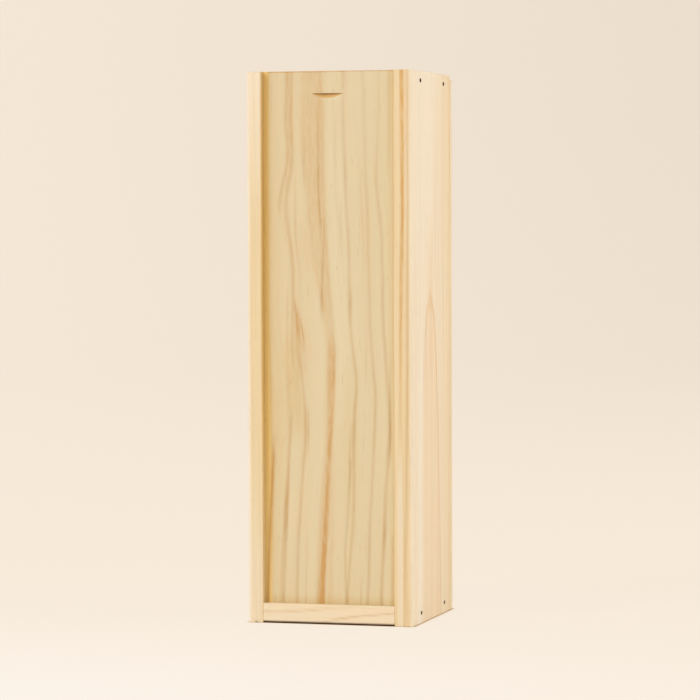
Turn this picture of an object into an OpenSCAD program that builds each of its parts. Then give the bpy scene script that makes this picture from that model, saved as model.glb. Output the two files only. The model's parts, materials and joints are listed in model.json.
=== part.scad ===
// One-bottle wooden wine box, standing on end. Two side boards, two end boards and a
// back panel are glued and bradded together, and a flat lid slides up and out of
// grooves that run behind the front edges. Sizes are in millimetres.
// X runs from the left side board to the right one, Y from the front to the back and
// Z up. The origin is under the middle of the box, on the surface that it stands on.

/* [Box] */
// Width over both side boards
box_w = 108; // [90:1:200]
// Depth from the front edges of the side boards to the outside of the back panel
box_d = 105; // [80:1:200]
// Height as it stands, which is the length of the side boards
box_h = 350; // [200:1:500]

/* [Boards] */
// Thickness of the left side board
left_t = 9.5; // [8:0.5:18]
// Thickness of the right side board, which was planed thicker than the left one
right_t = 12; // [8:0.5:18]
// Thickness of the two end boards
end_t = 12; // [10:0.5:20]
// Thickness of the back panel
back_t = 6.5; // [4:0.5:12]
// How far the back panel stops short of the tops of the side boards
back_drop = 2.5; // [0:0.5:5]
// Gap under the bottom end board, so that the box stands on its upright boards
foot_gap = 0.5; // [0:0.1:2]
// Radius of the sanded edges of the boards
board_ease = 0.8; // [0.2:0.1:1.5]
// Radius of the outside edges of the back panel, which are sanded rounder
panel_ease = 1.5; // [0.5:0.1:3]

/* [Lid and grooves] */
// Thickness of the lid
lid_t = 5; // [4:0.5:8]
// Thickness of the lips that hold the lid in from the front
lip_t = 4; // [3:0.5:8]
// Depth of the grooves in the side boards
side_groove = 4; // [2:0.5:5]
// Depth of the groove in the bottom end board, where the lid lands
end_groove = 4; // [2:0.5:6]
// Gap between each face of the lid and its groove
slide_gap = 0.3; // [0.2:0.1:0.8]
// Gap between each long edge of the lid and the floor of its groove
edge_gap = 0.6; // [0.3:0.1:1]
// Gap under the shut lid
stop_gap = 0.3; // [0.2:0.1:1]
// Radius of the sanded edges of the lid
lid_ease = 0.5; // [0.2:0.1:1]
// Corners cut off the lower end of the lid, so that it finds its grooves
lid_corner = 3; // [1:0.5:8]
// Bevel along the back of the lower end of the lid
lid_bevel = 1.2; // [0.5:0.1:2]

/* [Finger notch] */
// Width of the notch along its straight wall
notch_w = 20.6; // [14:0.1:30]
// Height of the notch from its wall to the lowest point of its arc
notch_h = 3.3; // [2:0.1:8]
// Depth of the notch at its wall
notch_deep = 1.8; // [1:0.1:3]
// Distance from the top of the lid down to the wall of the notch
notch_down = 14; // [8:0.5:40]
// How far the notch lies to the right of the middle of the lid, or to its left below 0
notch_aside = -1; // [-5:0.5:5]

/* [Brads] */
// Length of the brads that hold the side boards to the end boards
side_brad = 25; // [20:1:32]
// Length of the brads that hold the back panel on
back_brad = 20; // [15:1:25]
// Width of the flattened wire
wire_w = 1.4; // [1:0.1:1.8]
// Thickness of the flattened wire
wire_t = 1.2; // [0.8:0.1:1.5]
// Width of the T-shaped head
head_w = 2.6; // [2:0.1:3.2]
// Height of the head
head_h = 0.8; // [0.5:0.1:1.2]
// Length of the pointed end
point_h = 1.6; // [1:0.1:3]
// How deep the heads are driven below the surface
brad_sink = 1.2; // [0.5:0.1:2]
// Play round a head in the slot that it was driven through
slot_play = 0.15; // [0.05:0.05:0.3]
// Distance from the front edges back to the front pair of side brads
brad_front = 22; // [14:1:30]
// Distance from the outside of the back panel forward to the rear pair of side brads
brad_back = 23; // [14:1:30]
// Turn of the heads of the side brads away from upright, in degrees
side_turn = 90; // [0:5:90]
// Turn of the heads of the back brads away from level, in degrees
back_turn = 90; // [0:5:90]
// How many brads hold the back panel to each side board
back_count = 4; // [2:1:8]
// Distance from each end of the back panel to the first brad along its long edges
back_inset = 30; // [15:1:60]
// Distance between the two brads that hold the back panel to each end board
end_spread = 40; // [20:1:60]

/* [Hidden] */
$fn = 64;

// How far a cut runs past the face that it opens
past = 1;

front_y = -box_d / 2;
back_y = box_d / 2;
panel_y = back_y - back_t;
left_x = -box_w / 2;
right_x = box_w / 2;
inner_left = left_x + left_t;
inner_right = right_x - right_t;
panel_h = box_h - back_drop;

// The grooves lie between the lips and the front of the top end board
groove_y = front_y + lip_t;
groove_w = lid_t + 2 * slide_gap;
behind_lid_y = groove_y + groove_w;
bottom_end_top = foot_gap + end_t;

lid_left = inner_left - side_groove + edge_gap;
lid_right = inner_right + side_groove - edge_gap;
lid_w = lid_right - lid_left;
lid_y = groove_y + slide_gap;
lid_z = bottom_end_top - end_groove + stop_gap;
lid_h = box_h - lid_z;

lower_brad_z = foot_gap + end_t / 2;
upper_brad_z = box_h - end_t / 2;

// Places of the back brads, as X and Z: along each side board, then on each end board
back_step = (panel_h - 2 * back_inset) / (back_count - 1);
back_places = [
    for (x = [left_x + left_t / 2, right_x - right_t / 2])
        for (i = [0 : back_count - 1])
            [x, back_inset + i * back_step],
    for (x = [-end_spread / 2, end_spread / 2])
        for (z = [lower_brad_z, upper_brad_z])
            [x, z]
];

// A rectangle of w by h whose four corners have the radius r
module eased_rect(w, h, r) {
    translate([r, 0]) square([w - 2 * r, h]);
    translate([0, r]) square([w, h - 2 * r]);
    for (x = [r, w - r])
        for (y = [r, h - r])
            translate([x, y]) circle(r);
}

// Extrudes a side view, drawn as Y and Z, along X
module along_x(length) {
    rotate([90, 0, 90]) linear_extrude(length) children();
}

// Extrudes a front view, drawn as X and Z, along Y
module along_y(length) {
    translate([0, length, 0]) rotate([90, 0, 0]) linear_extrude(length) children();
}

// A T-headed brad of the given length, its head's top at the origin and its point down
module brad(length) {
    rotate([90, 0, 0])
        linear_extrude(wire_t, center = true)
            polygon([
                [-head_w / 2, 0],
                [-head_w / 2, -head_h],
                [-wire_w / 2, -head_h],
                [-wire_w / 2, point_h - length],
                [0, -length],
                [wire_w / 2, point_h - length],
                [wire_w / 2, -head_h],
                [head_w / 2, -head_h],
                [head_w / 2, 0]
            ]);
}

// What a driven brad takes out of the wood: its own room and the slot above its head
module brad_room(length) {
    slot_w = head_w + 2 * slot_play;
    slot_t = wire_t + 2 * slot_play;
    brad(length);
    translate([-slot_w / 2, -slot_t / 2, 0]) cube([slot_w, slot_t, brad_sink + past]);
}

// Puts its children at the eight side brads, pointing into the end boards
module at_side_brads() {
    for (side = [-1, 1])
        for (y = [front_y + brad_front, back_y - brad_back])
            for (z = [lower_brad_z, upper_brad_z])
                translate([side * (box_w / 2 - brad_sink), y, z])
                    rotate([0, side * 90, 0])
                        rotate([0, 0, side_turn])
                            children();
}

// Puts its children at the back brads, pointing forward
module at_back_brads() {
    for (place = back_places)
        translate([place[0], back_y - brad_sink, place[1]])
            rotate([-90, 0, 0])
                rotate([0, 0, back_turn])
                    children();
}

module all_brad_rooms() {
    at_side_brads() brad_room(side_brad);
    at_back_brads() brad_room(back_brad);
}

// An upright board with sanded edges all round, grooved for the lid on the face that
// lies at groove_x and runs inwards from there
module side_board(x, t, groove_x) {
    depth = panel_y - front_y;
    difference() {
        translate([x, front_y, 0])
            intersection() {
                linear_extrude(box_h) eased_rect(t, depth, board_ease);
                along_x(t) eased_rect(depth, box_h, board_ease / 2);
            }
        translate([groove_x, groove_y, -past]) cube([side_groove + past, groove_w, box_h + 2 * past]);
        all_brad_rooms();
    }
}

module left_side() {
    color("burlywood") side_board(left_x, left_t, inner_left - side_groove);
}

module right_side() {
    color("burlywood") side_board(inner_right, right_t, inner_right - past);
}

// The board at the bottom fills the box from front to back, and its groove stops the lid
module bottom_end() {
    depth = panel_y - front_y;
    width = inner_right - inner_left;
    color("wheat")
        difference() {
            translate([inner_left, front_y, foot_gap])
                along_x(width) eased_rect(depth, end_t, board_ease);
            translate([inner_left - past, groove_y, bottom_end_top - end_groove])
                cube([width + 2 * past, groove_w, end_groove + past]);
            all_brad_rooms();
        }
}

// The board at the top stops behind the grooves, so that the lid passes in front of it
module top_end() {
    color("wheat")
        difference() {
            translate([inner_left, behind_lid_y, box_h - end_t])
                along_x(inner_right - inner_left)
                    eased_rect(panel_y - behind_lid_y, end_t, board_ease);
            all_brad_rooms();
        }
}

// The panel lies on the back edges of all four boards. Only its outside edges are
// rounded, so its views are drawn deeper than it is and cut off at the joint.
module back_panel() {
    deep = back_t + panel_ease;
    color("tan")
        difference() {
            translate([left_x, panel_y - panel_ease, 0])
                intersection() {
                    linear_extrude(panel_h) eased_rect(box_w, deep, panel_ease);
                    along_x(box_w) eased_rect(deep, panel_h, panel_ease);
                    translate([0, panel_ease, 0]) cube([box_w, back_t, panel_h]);
                }
            all_brad_rooms();
        }
}

// The scoop in the lid. A cylinder leans so that the line along its underside falls
// from the lid's face, at the arc, to the full depth at the wall that a thumb pushes.
// Its radius makes the wall as wide as the notch.
module notch_cut() {
    lean = atan(notch_deep / notch_h);
    sink = notch_deep * cos(lean);
    radius = (pow(notch_w / 2, 2) + pow(sink, 2)) / (2 * sink);
    length = 6 * notch_h;
    wall_z = box_h - notch_down;
    intersection() {
        translate([(lid_left + lid_right) / 2 + notch_aside, lid_y, wall_z])
            rotate([-lean, 0, 0])
                translate([0, sink - radius, 0])
                    cylinder(r = radius, h = length, center = true);
        translate([lid_left, lid_y - length, wall_z - length])
            cube([lid_w, 2 * length, length]);
    }
}

// The lid is what its three views have in common, less the notch
module lid() {
    outline = [
        [lid_corner, 0],
        [lid_w - lid_corner, 0],
        [lid_w, lid_corner],
        [lid_w, lid_h],
        [0, lid_h],
        [0, lid_corner]
    ];
    side_view = [
        [0, 0],
        [lid_t - lid_bevel, 0],
        [lid_t, 2 * lid_bevel],
        [lid_t, lid_h],
        [0, lid_h]
    ];
    color("navajowhite")
        difference() {
            translate([lid_left, lid_y, lid_z])
                intersection() {
                    linear_extrude(lid_h) eased_rect(lid_w, lid_t, lid_ease);
                    along_x(lid_w) eased_rect(lid_t, lid_h, lid_ease);
                    along_x(lid_w) polygon(side_view);
                    along_y(lid_t) polygon(outline);
                }
            notch_cut();
        }
}

module side_brads() {
    color("silver") at_side_brads() brad(side_brad);
}

module back_brads() {
    color("silver") at_back_brads() brad(back_brad);
}

left_side();
right_side();
bottom_end();
top_end();
back_panel();
lid();
side_brads();
back_brads();
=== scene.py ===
"""The looks of a one-bottle pine wine box with a sliding lid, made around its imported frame."""

import json
import math
from typing import NamedTuple

import bmesh
import bpy
import numpy as np
from bpy.props import FloatProperty, FloatVectorProperty, PointerProperty
from mathutils import Matrix, Vector

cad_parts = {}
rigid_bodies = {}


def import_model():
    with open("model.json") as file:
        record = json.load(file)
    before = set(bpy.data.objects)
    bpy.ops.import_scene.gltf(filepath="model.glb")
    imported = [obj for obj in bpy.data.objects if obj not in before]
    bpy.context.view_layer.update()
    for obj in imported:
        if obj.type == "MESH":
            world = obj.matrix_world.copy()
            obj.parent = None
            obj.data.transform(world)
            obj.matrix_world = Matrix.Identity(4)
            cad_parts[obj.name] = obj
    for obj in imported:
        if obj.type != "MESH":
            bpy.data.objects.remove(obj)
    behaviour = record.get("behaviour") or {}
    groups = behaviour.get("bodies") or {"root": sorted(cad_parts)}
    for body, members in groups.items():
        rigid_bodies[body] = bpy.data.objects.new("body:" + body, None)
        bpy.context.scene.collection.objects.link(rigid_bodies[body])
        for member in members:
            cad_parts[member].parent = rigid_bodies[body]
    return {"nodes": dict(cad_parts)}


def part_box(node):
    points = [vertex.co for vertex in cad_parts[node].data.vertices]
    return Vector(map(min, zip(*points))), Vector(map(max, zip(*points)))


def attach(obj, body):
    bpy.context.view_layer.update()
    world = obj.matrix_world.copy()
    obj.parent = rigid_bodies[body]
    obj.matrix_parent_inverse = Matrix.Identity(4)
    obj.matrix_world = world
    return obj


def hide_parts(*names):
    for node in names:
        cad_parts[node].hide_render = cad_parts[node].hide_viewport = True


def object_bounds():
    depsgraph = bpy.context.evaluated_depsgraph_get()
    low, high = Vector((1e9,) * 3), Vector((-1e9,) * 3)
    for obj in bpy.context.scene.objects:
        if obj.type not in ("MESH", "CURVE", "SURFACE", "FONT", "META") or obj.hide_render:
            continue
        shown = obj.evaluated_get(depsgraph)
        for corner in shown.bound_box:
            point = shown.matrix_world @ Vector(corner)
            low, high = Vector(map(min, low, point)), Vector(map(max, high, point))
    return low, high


bl_info = {
    "name": "Pine wine box",
    "version": (1, 0, 0),
    "blender": (4, 5, 0),
    "location": "3D View > Sidebar > Wine Box",
    "description": "Makes the boards, the lid, the brads and the stage of a pine wine box",
    "category": "Add Mesh",
}

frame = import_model()
CAD_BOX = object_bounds()
MM = 0.001

# Clearances round the lid, in mm, which give the grooves their size and place
SLIDE_GAP = 0.3
EDGE_GAP = 0.6
STOP_GAP = 0.3

# Rounding of the boards' edges, in mm, and the cells round it
BOARD_EASE = 0.8
PANEL_EASE = 1.5
LID_EASE = 0.5
LIP_EASE = 0.3
JOINT_EASE = 0.12
END_EASE = 0.2
EASE_STEPS = 5

# Lower end of the lid, in mm: its cut corners, and the bevel along its back
LID_CORNER = 3
LID_BEVEL = 1.2

# Finger notch, in mm: along its wall, from the wall to its arc, into the lid, and its place
NOTCH_W = 20.6
NOTCH_H = 3.3
NOTCH_DEEP = 1.8
NOTCH_DOWN = 14
NOTCH_ASIDE = -1

# Shares of the notch's depth down its wall, and of its height along its floor
NOTCH_WALL = (0, 0.12, 0.5, 0.85, 1)
NOTCH_FLOOR = (0.06, 0.2, 0.4, 0.6, 0.8, 1)

# Brads, in mm: the slot that a head leaves, and the places of the brads
SLOT_LONG = 3.3
SLOT_SHORT = 1.5
SLOT_DEEP = 1.7
BRAD_FRONT = 22
BRAD_BACK = 23
BACK_COUNT = 4
BACK_INSET = 30
END_SPREAD = 40

# A slot's profile, as how far it lies outside the slot and how deep, in mm, and its corners' rounding
SLOT_PROFILE = ((0.6, 0), (0.3, 0.15), (0.12, 0.5), (-0.04, SLOT_DEEP))
SLOT_CORNER = 0.9

# How far the painted shade reaches round an upper and a lower slot, in half millimetres
UPPER_SHADE = 1.6
LOWER_SHADE = 1.1

# Cells of the boards' grids, in mm: across the lid and the other boards, through them, and along them
LID_FINE = 0.6
FINE = 0.7
COARSE = 1.2
ALONG = 2.0

# Distances of the first stations from a sawn end, in mm, close enough to round its edge
END_STATIONS = (0, 0.06, 0.16, 0.32, 0.55, 0.9, 1.4)

# How far beyond a groove the points of the other face fan out, and the wood left round a cut, in mm
GROOVE_FAN = 1.2
SLOT_MARGIN = 0.8
NOTCH_MARGIN = 1.0

# Lengths over which things wander along a board, in mm: the pith across the face and through the
# board, the wear of the long edges, and the tears round a sawn end, each both quickly and slowly
PITH_WANDER = (120, 160)
WEAR_WANDER = (9.0, 47.0)
TEAR_WANDER = (1.1, 6.0)

# How far a board's patterns are moved, for each 1 of its seed, so that no two boards are alike
BOARD_SHIFT = 3.7


class Line(NamedTuple):
    """A thin stripe of the grain. Its path holds (place along the board, place across it, tone) in mm.

    Its width differs to its low and its high side. Part of it is a neutral shade, the rest streak.
    """

    low: float
    high: float
    path: tuple
    shade: float = 0.5


class Band(NamedTuple):
    """A broad stripe of the grain. Its path holds (place along, lower side, upper side, tone) in mm."""

    soft: float
    path: tuple
    kind: str = "streak"


def strip(soft, low, high, tones, kind="streak"):
    """A band that keeps its sides all the way. Its tones are pairs of (place along, tone)."""
    return Band(soft, tuple((place, low, high, tone) for place, tone in tones), kind)


class Dent(NamedTuple):
    """A knock or a chip: its middle as (u, v, w), its radius and its depth, in mm."""

    middle: tuple
    radius: float
    depth: float


class Slot(NamedTuple):
    """The slot over a brad's head: its middle and its size, as (u, w) in mm, and the face that it is in."""

    middle: tuple
    size: tuple
    side: str


class Board(NamedTuple):
    """A board in its own u (across its face), v (through it) and w (along its grain), in mm.

    Its axes say which of X, Y and Z these are. Its face is the shown one, "low" or "high" in v. Its
    pith holds the place of the rings' middle as (u, v), and how far that wanders in u and in v.
    """

    node: str
    u: tuple
    v: tuple
    w: tuple
    axes: tuple
    face: str
    pith: tuple
    lines: tuple = ()
    bands: tuple = ()
    edge_lines: tuple = ()
    edge_bands: tuple = ()
    guides: tuple = ()
    slots: tuple = ()
    notch: tuple = ()
    dents: tuple = ()
    seed: int = 1

    @property
    def face_v(self):
        """Where the shown face lies through the board."""
        return self.v[0] if self.face == "low" else self.v[1]


# The lid's grain, up its face: the first five lines also guide the fibres between them
LID_LINES = (
    Line(1.44, 0.96, (
        (350, -25.3, 0.3), (320, -26.4, 0.26), (303, -24.9, 0.3), (287, -25.5, 0.34), (275, -28.6, 0.34),
        (265, -29.5, 0.34), (252, -28.6, 0.44), (240, -26.4, 0.52), (232, -25.4, 0.5), (215, -25, 0.5),
        (205, -25, 0.44), (192, -24.6, 0.22), (178, -22.6, 0.2), (165, -20.5, 0.4), (150, -18.8, 0.25),
        (140, -17.5, 0.45), (130, -17.3, 0.65), (118, -17, 0.7), (108, -18, 0.51), (92, -19.5, 0.46),
        (75, -20.5, 0.46), (55, -22, 0.46), (35, -22.7, 0.46), (12, -23, 0.46),
    )),
    Line(2, 1.2, (
        (347, -6.2, 0.2), (330, -5.5, 0.28), (300, -5.2, 0.26), (270, -5, 0.22), (250, -3.5, 0.2),
        (225, -2.3, 0.22), (210, -1, 0.26), (190, 0.6, 0.28), (173, 2.2, 0.4), (162, 2, 0.3),
        (148, 1.2, 0.24), (130, 0.1, 0.5), (115, -0.9, 0.45), (97, -2.6, 0.2), (75, -3.5, 0.45),
        (45, -5, 0.54), (25, -6.3, 0.6), (12, -6.9, 0.64),
    ), 0.1),
    Line(1.12, 1.12, (
        (350, 8, 0.3), (325, 7.9, 0.3), (305, 8.5, 0.34), (295, 9, 0.44), (285, 9.2, 0.69),
        (275, 9.5, 0.44), (265, 9.9, 0.34), (250, 11, 0.39), (240, 11.5, 0.44), (220, 11.7, 0.44),
        (205, 11.3, 0.44), (195, 11.7, 0.39), (180, 13.1, 0.39), (170, 14.6, 0.51), (158, 16.1, 0.55),
        (150, 16.5, 0.42), (135, 15, 0.7), (120, 14.5, 0.8), (105, 14.4, 0.5), (80, 14.4, 0.41),
        (62, 13.9, 0.41), (48, 12.4, 0.41), (35, 11.2, 0.41), (20, 10.2, 0.46), (12, 9.6, 0.51),
    )),
    Line(0.96, 1.28, (
        (350, 20.5, 0.3), (335, 21.5, 0.3), (300, 22.3, 0.3), (285, 22.4, 0.34), (265, 23.7, 0.34),
        (240, 24.2, 0.34), (208, 24.9, 0.34), (185, 25.4, 0.34), (170, 26.7, 0.41), (152, 28.1, 0.58),
        (146, 28.8, 0.6), (128, 28.3, 0.6), (105, 27.1, 0.5), (85, 26.2, 0.41), (70, 25, 0.41),
        (50, 24.4, 0.62), (30, 23.9, 0.5), (12, 22.9, 0.5),
    )),
    Line(1.12, 1.12, (
        (350, 27.3, 0), (296, 28.3, 0), (285, 29.1, 0.25), (262, 31.3, 0.34), (250, 33, 0.39),
        (240, 33.5, 0.36), (232, 33.2, 0.46), (222, 34, 0.36), (205, 33.5, 0.56), (185, 34.2, 0.5),
        (170, 35.4, 0.55), (152, 36.4, 0.46), (138, 37.4, 0.46), (122, 37.9, 0.51), (112, 37.9, 0.61),
        (97, 36.2, 0.51), (88, 35.7, 0.46), (68, 35, 0.51), (58, 34.7, 0.92), (48, 34, 0.61),
        (30, 32.8, 0.51), (20, 32.4, 0.7), (12, 32.2, 0.7),
    )),
    # The line beside the first one, three short strokes, and the fine lines between the main ones
    Line(1.44, 0.96, (
        (350, -28.8, 0.35), (330, -29.3, 0.5), (318, -29.8, 0.5), (303, -28.2, 0.3), (290, -29, 0.3),
        (278, -32, 0.45), (268, -33.8, 0.45), (258, -34, 0),
    )),
    Line(0.6, 0.48, ((204, -24.1, 0), (199, -23.6, 1.2), (187, -22.5, 1.1), (177, -21.4, 0)), 0.1),
    Line(0.6, 0.48, ((201, -22.6, 0), (195, -21.9, 1.2), (185, -20.7, 1), (179, -20.4, 0)), 0.1),
    Line(0.6, 0.48, ((198, -20.9, 0), (190, -19.8, 0.8), (181, -18.3, 0.8), (175, -17.9, 0)), 0.1),
    Line(0.8, 0.8, ((142, -15.6, 0), (130, -15.3, 0.61), (116, -15.3, 0.51), (108, -15.8, 0))),
    Line(1.28, 0.96, (
        (135, -26.7, 0), (125, -27, 0.41), (110, -28, 0.51), (95, -28.6, 0.61), (85, -29.2, 0.92),
        (65, -30, 0.92), (50, -30.6, 0.51), (35, -31.5, 0.46), (12, -32, 0.46),
    )),
    Line(0.8, 0.8, (
        (95, -29.6, 0), (78, -31, 0.41), (65, -31.6, 0.41), (50, -32.5, 0.35), (35, -33.5, 0.35),
        (12, -33.8, 0.3),
    )),
    Line(1.35, 1.35, (
        (120, -38.2, 0), (110, -38.5, 0.77), (95, -39.3, 0.99), (72, -40.4, 0.99), (50, -41.4, 0.99),
        (12, -42.9, 0.99),
    ), 0.1),
    Line(0.8, 0.64, (
        (335, -8.6, 0), (325, -8.5, 0.3), (300, -8.4, 0.34), (285, -8.2, 0.69), (275, -8, 0.44),
        (262, -7.2, 0.69), (252, -6.7, 0.52), (243, -6, 0),
    )),
    Line(0.8, 0.64, ((214, -6.5, 0), (208, -6.2, 0.52), (203, -5.7, 0.52), (192, -5.5, 0))),
    Line(0.64, 0.64, ((272, 6.2, 0), (262, 6.4, 0.34), (245, 7.1, 0.34), (235, 7.2, 0.34), (222, 7.8, 0))),
    Line(0.8, 0.8, ((215, 12.8, 0), (208, 12.9, 0.39), (198, 12.8, 0.34), (190, 12.8, 0))),
    Line(0.96, 0.8, (
        (128, 12.8, 0), (122, 12.4, 0.3), (108, 11.7, 0.41), (100, 12.1, 0.81), (92, 11.9, 0.7),
        (85, 11.3, 0.51), (70, 10.7, 0.51), (60, 9.7, 0.46), (45, 8.5, 0.46), (30, 8.9, 0.46),
        (12, 9.5, 0.41),
    )),
    Line(0.8, 0.8, ((296, 18.7, 0), (285, 19, 0.17), (262, 20, 0.22), (243, 21.1, 0.22), (210, 21, 0))),
    Line(0.64, 0.64, ((120, 36.6, 0), (112, 36.5, 0.51), (104, 36.4, 0))),
    Line(0.64, 0.64, ((95, 34.8, 0), (85, 34.4, 0.3), (70, 34, 0.3), (50, 33.2, 0.3), (42, 32.7, 0))),
    Line(0.96, 0.96, ((64, 39.1, 0), (52, 39.4, 0.41), (40, 39.6, 0.51), (12, 39.1, 0.51))),
    Line(0.64, 0.64, ((180, 22.4, 0), (172, 22.5, 0.35), (160, 22.6, 0.35), (153, 22.8, 0))),
    Line(0.64, 0.64, ((62, -16.4, 0), (50, -16.8, 0.3), (12, -17.4, 0.3))),
    Line(0.64, 0.64, ((56, 21.9, 0), (50, 22.2, 0.41), (44, 22.4, 0))),
    Line(0.64, 0.64, ((32, 19.6, 0), (24, 19.1, 0.41), (12, 18.8, 0.41))),
    Line(0.64, 0.64, ((101, 19.4, 0), (98, 19.9, 0.51), (94, 20.4, 0))),
    Line(0.9, 0.9, ((310, -17.6, 0), (301, -17.6, 0.4), (285, -18, 0.2), (270, -18.5, 0))),
    Line(0.8, 0.8, (
        (290, -23.4, 0), (275, -23.6, 0.25), (250, -23.7, 0.45), (235, -22.5, 0.2), (220, -20.3, 0.2),
        (205, -20, 0),
    )),
    Line(0.8, 0.8, (
        (215, -28.8, 0), (199, -29.1, 0.35), (174, -29.2, 0.15), (149, -28.7, 0.25), (135, -28.5, 0),
    )),
    Line(0.8, 0.8, ((205, -25.9, 0), (199, -25.9, 0.3), (174, -25.9, 0.3), (160, -25.7, 0))),
    Line(1, 0.8, (
        (262, -4.6, 0), (250, -4.7, 0.35), (225, -5.4, 0.6), (212, -6.2, 0.4), (199, -6.8, 0.4),
        (188, -7, 0),
    )),
    Line(0.9, 0.9, (
        (330, 2.6, 0), (301, 2.7, 0.3), (275, 3, 0.15), (250, 5.6, 0.3), (225, 5, 0.1), (210, 5, 0),
    )),
    Line(1, 1, ((350, 38.2, 0.35), (300, 38, 0.35), (280, 37.6, 0))),
    Line(0.9, 0.9, ((350, 31.4, 0.25), (300, 30.4, 0.3), (282, 29.6, 0.15), (275, 29.4, 0))),
    Line(0.8, 0.8, (
        (180, 38.8, 0), (165, 38.6, 0.3), (149, 38.2, 0.5), (123, 38.4, 0.9), (110, 38, 0.3),
        (100, 37.5, 0),
    )),
)
LID_BANDS = (
    # The fill between the two leftmost lines, and the wide tan band beside the middle
    Band(0.8, ((350, -28.8, -25.3, 0.3), (303, -28.2, -25, 0.3), (283, -30, -26, 0.2), (265, -33, -30, 0))),
    Band(1.2, (
        (350, -20, -6, 0.28), (300, -20, -6, 0.3), (235, -13, -6, 0.3), (215, -10, -5, 0.28),
        (200, -7, -3.5, 0.28), (187, -5, -3.5, 0),
    )),
    # The orange swell under the middle, and the glow left of the main streak down to the foot
    Band(0.9, (
        (182, -1.5, 1.5, 0), (172, -2.5, 2.5, 0.5), (152, -2.8, 2.2, 0.5), (140, -3, 1.5, 0.25),
        (130, -3, 1, 0.2),
    )),
    Band(0.9, ((110, -5, -1, 0.15), (80, -8, -3.5, 0.25), (45, -9.5, -5, 0.35), (12, -10.5, -5, 0.45))),
    Band(0.6, (
        (125, -1.5, 0.2, 0), (95, -3, -0.8, 0.3), (75, -4.6, -1.8, 0.35), (45, -6.4, -3.2, 0.4),
        (12, -8.2, -5, 0.4),
    )),
    Band(0.5, ((214, 11.4, 13.4, 0), (208, 11.4, 13.4, 0.25), (195, 11.8, 13.4, 0.25), (188, 12, 13.2, 0))),
    # Paler wood
    Band(3, (
        (350, -3, 7, -0.25), (300, -3, 8, -0.3), (240, -1, 9, -0.3), (200, 3, 10, -0.35),
        (150, 4, 12, -0.2), (120, 4, 12, 0),
    )),
    Band(3, ((350, 12, 34, -0.25), (300, 12, 30, -0.1), (260, 14, 24, 0))),
    Band(3, (
        (235, -22, -14, 0), (200, -18, -8, -0.2), (160, -15, -4, -0.2), (120, -14, -5, -0.05),
        (90, -16, -6, 0),
    )),
    # Beside the left lip: the lip's painted shadow on the lid, with a painted glow of bounced light in it,
    # then wood darker and yellower towards the lip, and a wider painted shade
    Band(0.7, (
        (350, -45.2, -41.2, 0.95), (200, -45.2, -41.2, 0.95), (100, -45.2, -40, 0.95),
        (12, -45.2, -40, 0.95),
    ), "bounce_glow"),
    Band(0.7, (
        (350, -44.2, -41.2, 0.65), (300, -44.2, -41.3, 0.55), (200, -44.2, -41.3, 0.45),
        (150, -44, -40, 0.5), (110, -43.6, -39.8, 0.4), (80, -43.6, -39.6, 0.18), (12, -43.6, -39.6, 0.12),
    ), "shade"),
    Band(3, ((350, -44, -34, 0.08), (150, -44, -32, 0.12), (12, -44, -34, 0.05))),
    Band(3, (
        (350, -44, -34, 0), (200, -44, -31, 0.15), (140, -44, -30, 0.35), (12, -44, -34, 0.2),
    ), "yellow"),
    strip(1.5, -56, -38.8, ((350, 0.4), (12, 0.4)), "yellow"),
    strip(1.3, -56, -40, ((350, 0.12), (12, 0.08)), "shade"),
    # Beside the right lip: yellower wood, a line of painted shade at the joint, and paler wood
    strip(1.5, 37.5, 56, ((350, 0.5), (12, 0.3)), "yellow"),
    strip(0.3, 39.8, 56, ((350, 0.3), (12, 0.3))),
    strip(2, 33, 56, ((350, -0.12), (12, -0.12))),
    # Warmer wood between the lines
    Band(2, ((190, -30, -22, 0), (175, -30, -21, 0.25), (130, -29, -20, 0.25), (110, -28, -21, 0))),
    Band(2, ((190, -30, -22, 0), (175, -30, -21, 0.3), (130, -29, -20, 0.3), (110, -28, -21, 0)), "yellow"),
    Band(2, (
        (270, -22, -14, 0), (245, -22, -14, 0.15), (175, -21, -8, 0.28), (140, -14, -6, 0.15),
        (110, -14, -6, 0),
    )),
    Band(2, ((170, 9, 17, 0), (150, 9, 17, 0.3), (80, 9, 16, 0.35), (60, 9, 16, 0.1)), "yellow"),
    strip(2, 1, 10, ((350, 0.12), (310, 0.12), (285, 0))),
    # Painted shade, darker up the face
    strip(4, -60, 60, ((350, 0.07), (250, 0.04), (150, 0.01), (60, 0)), "shade"),
)

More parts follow.
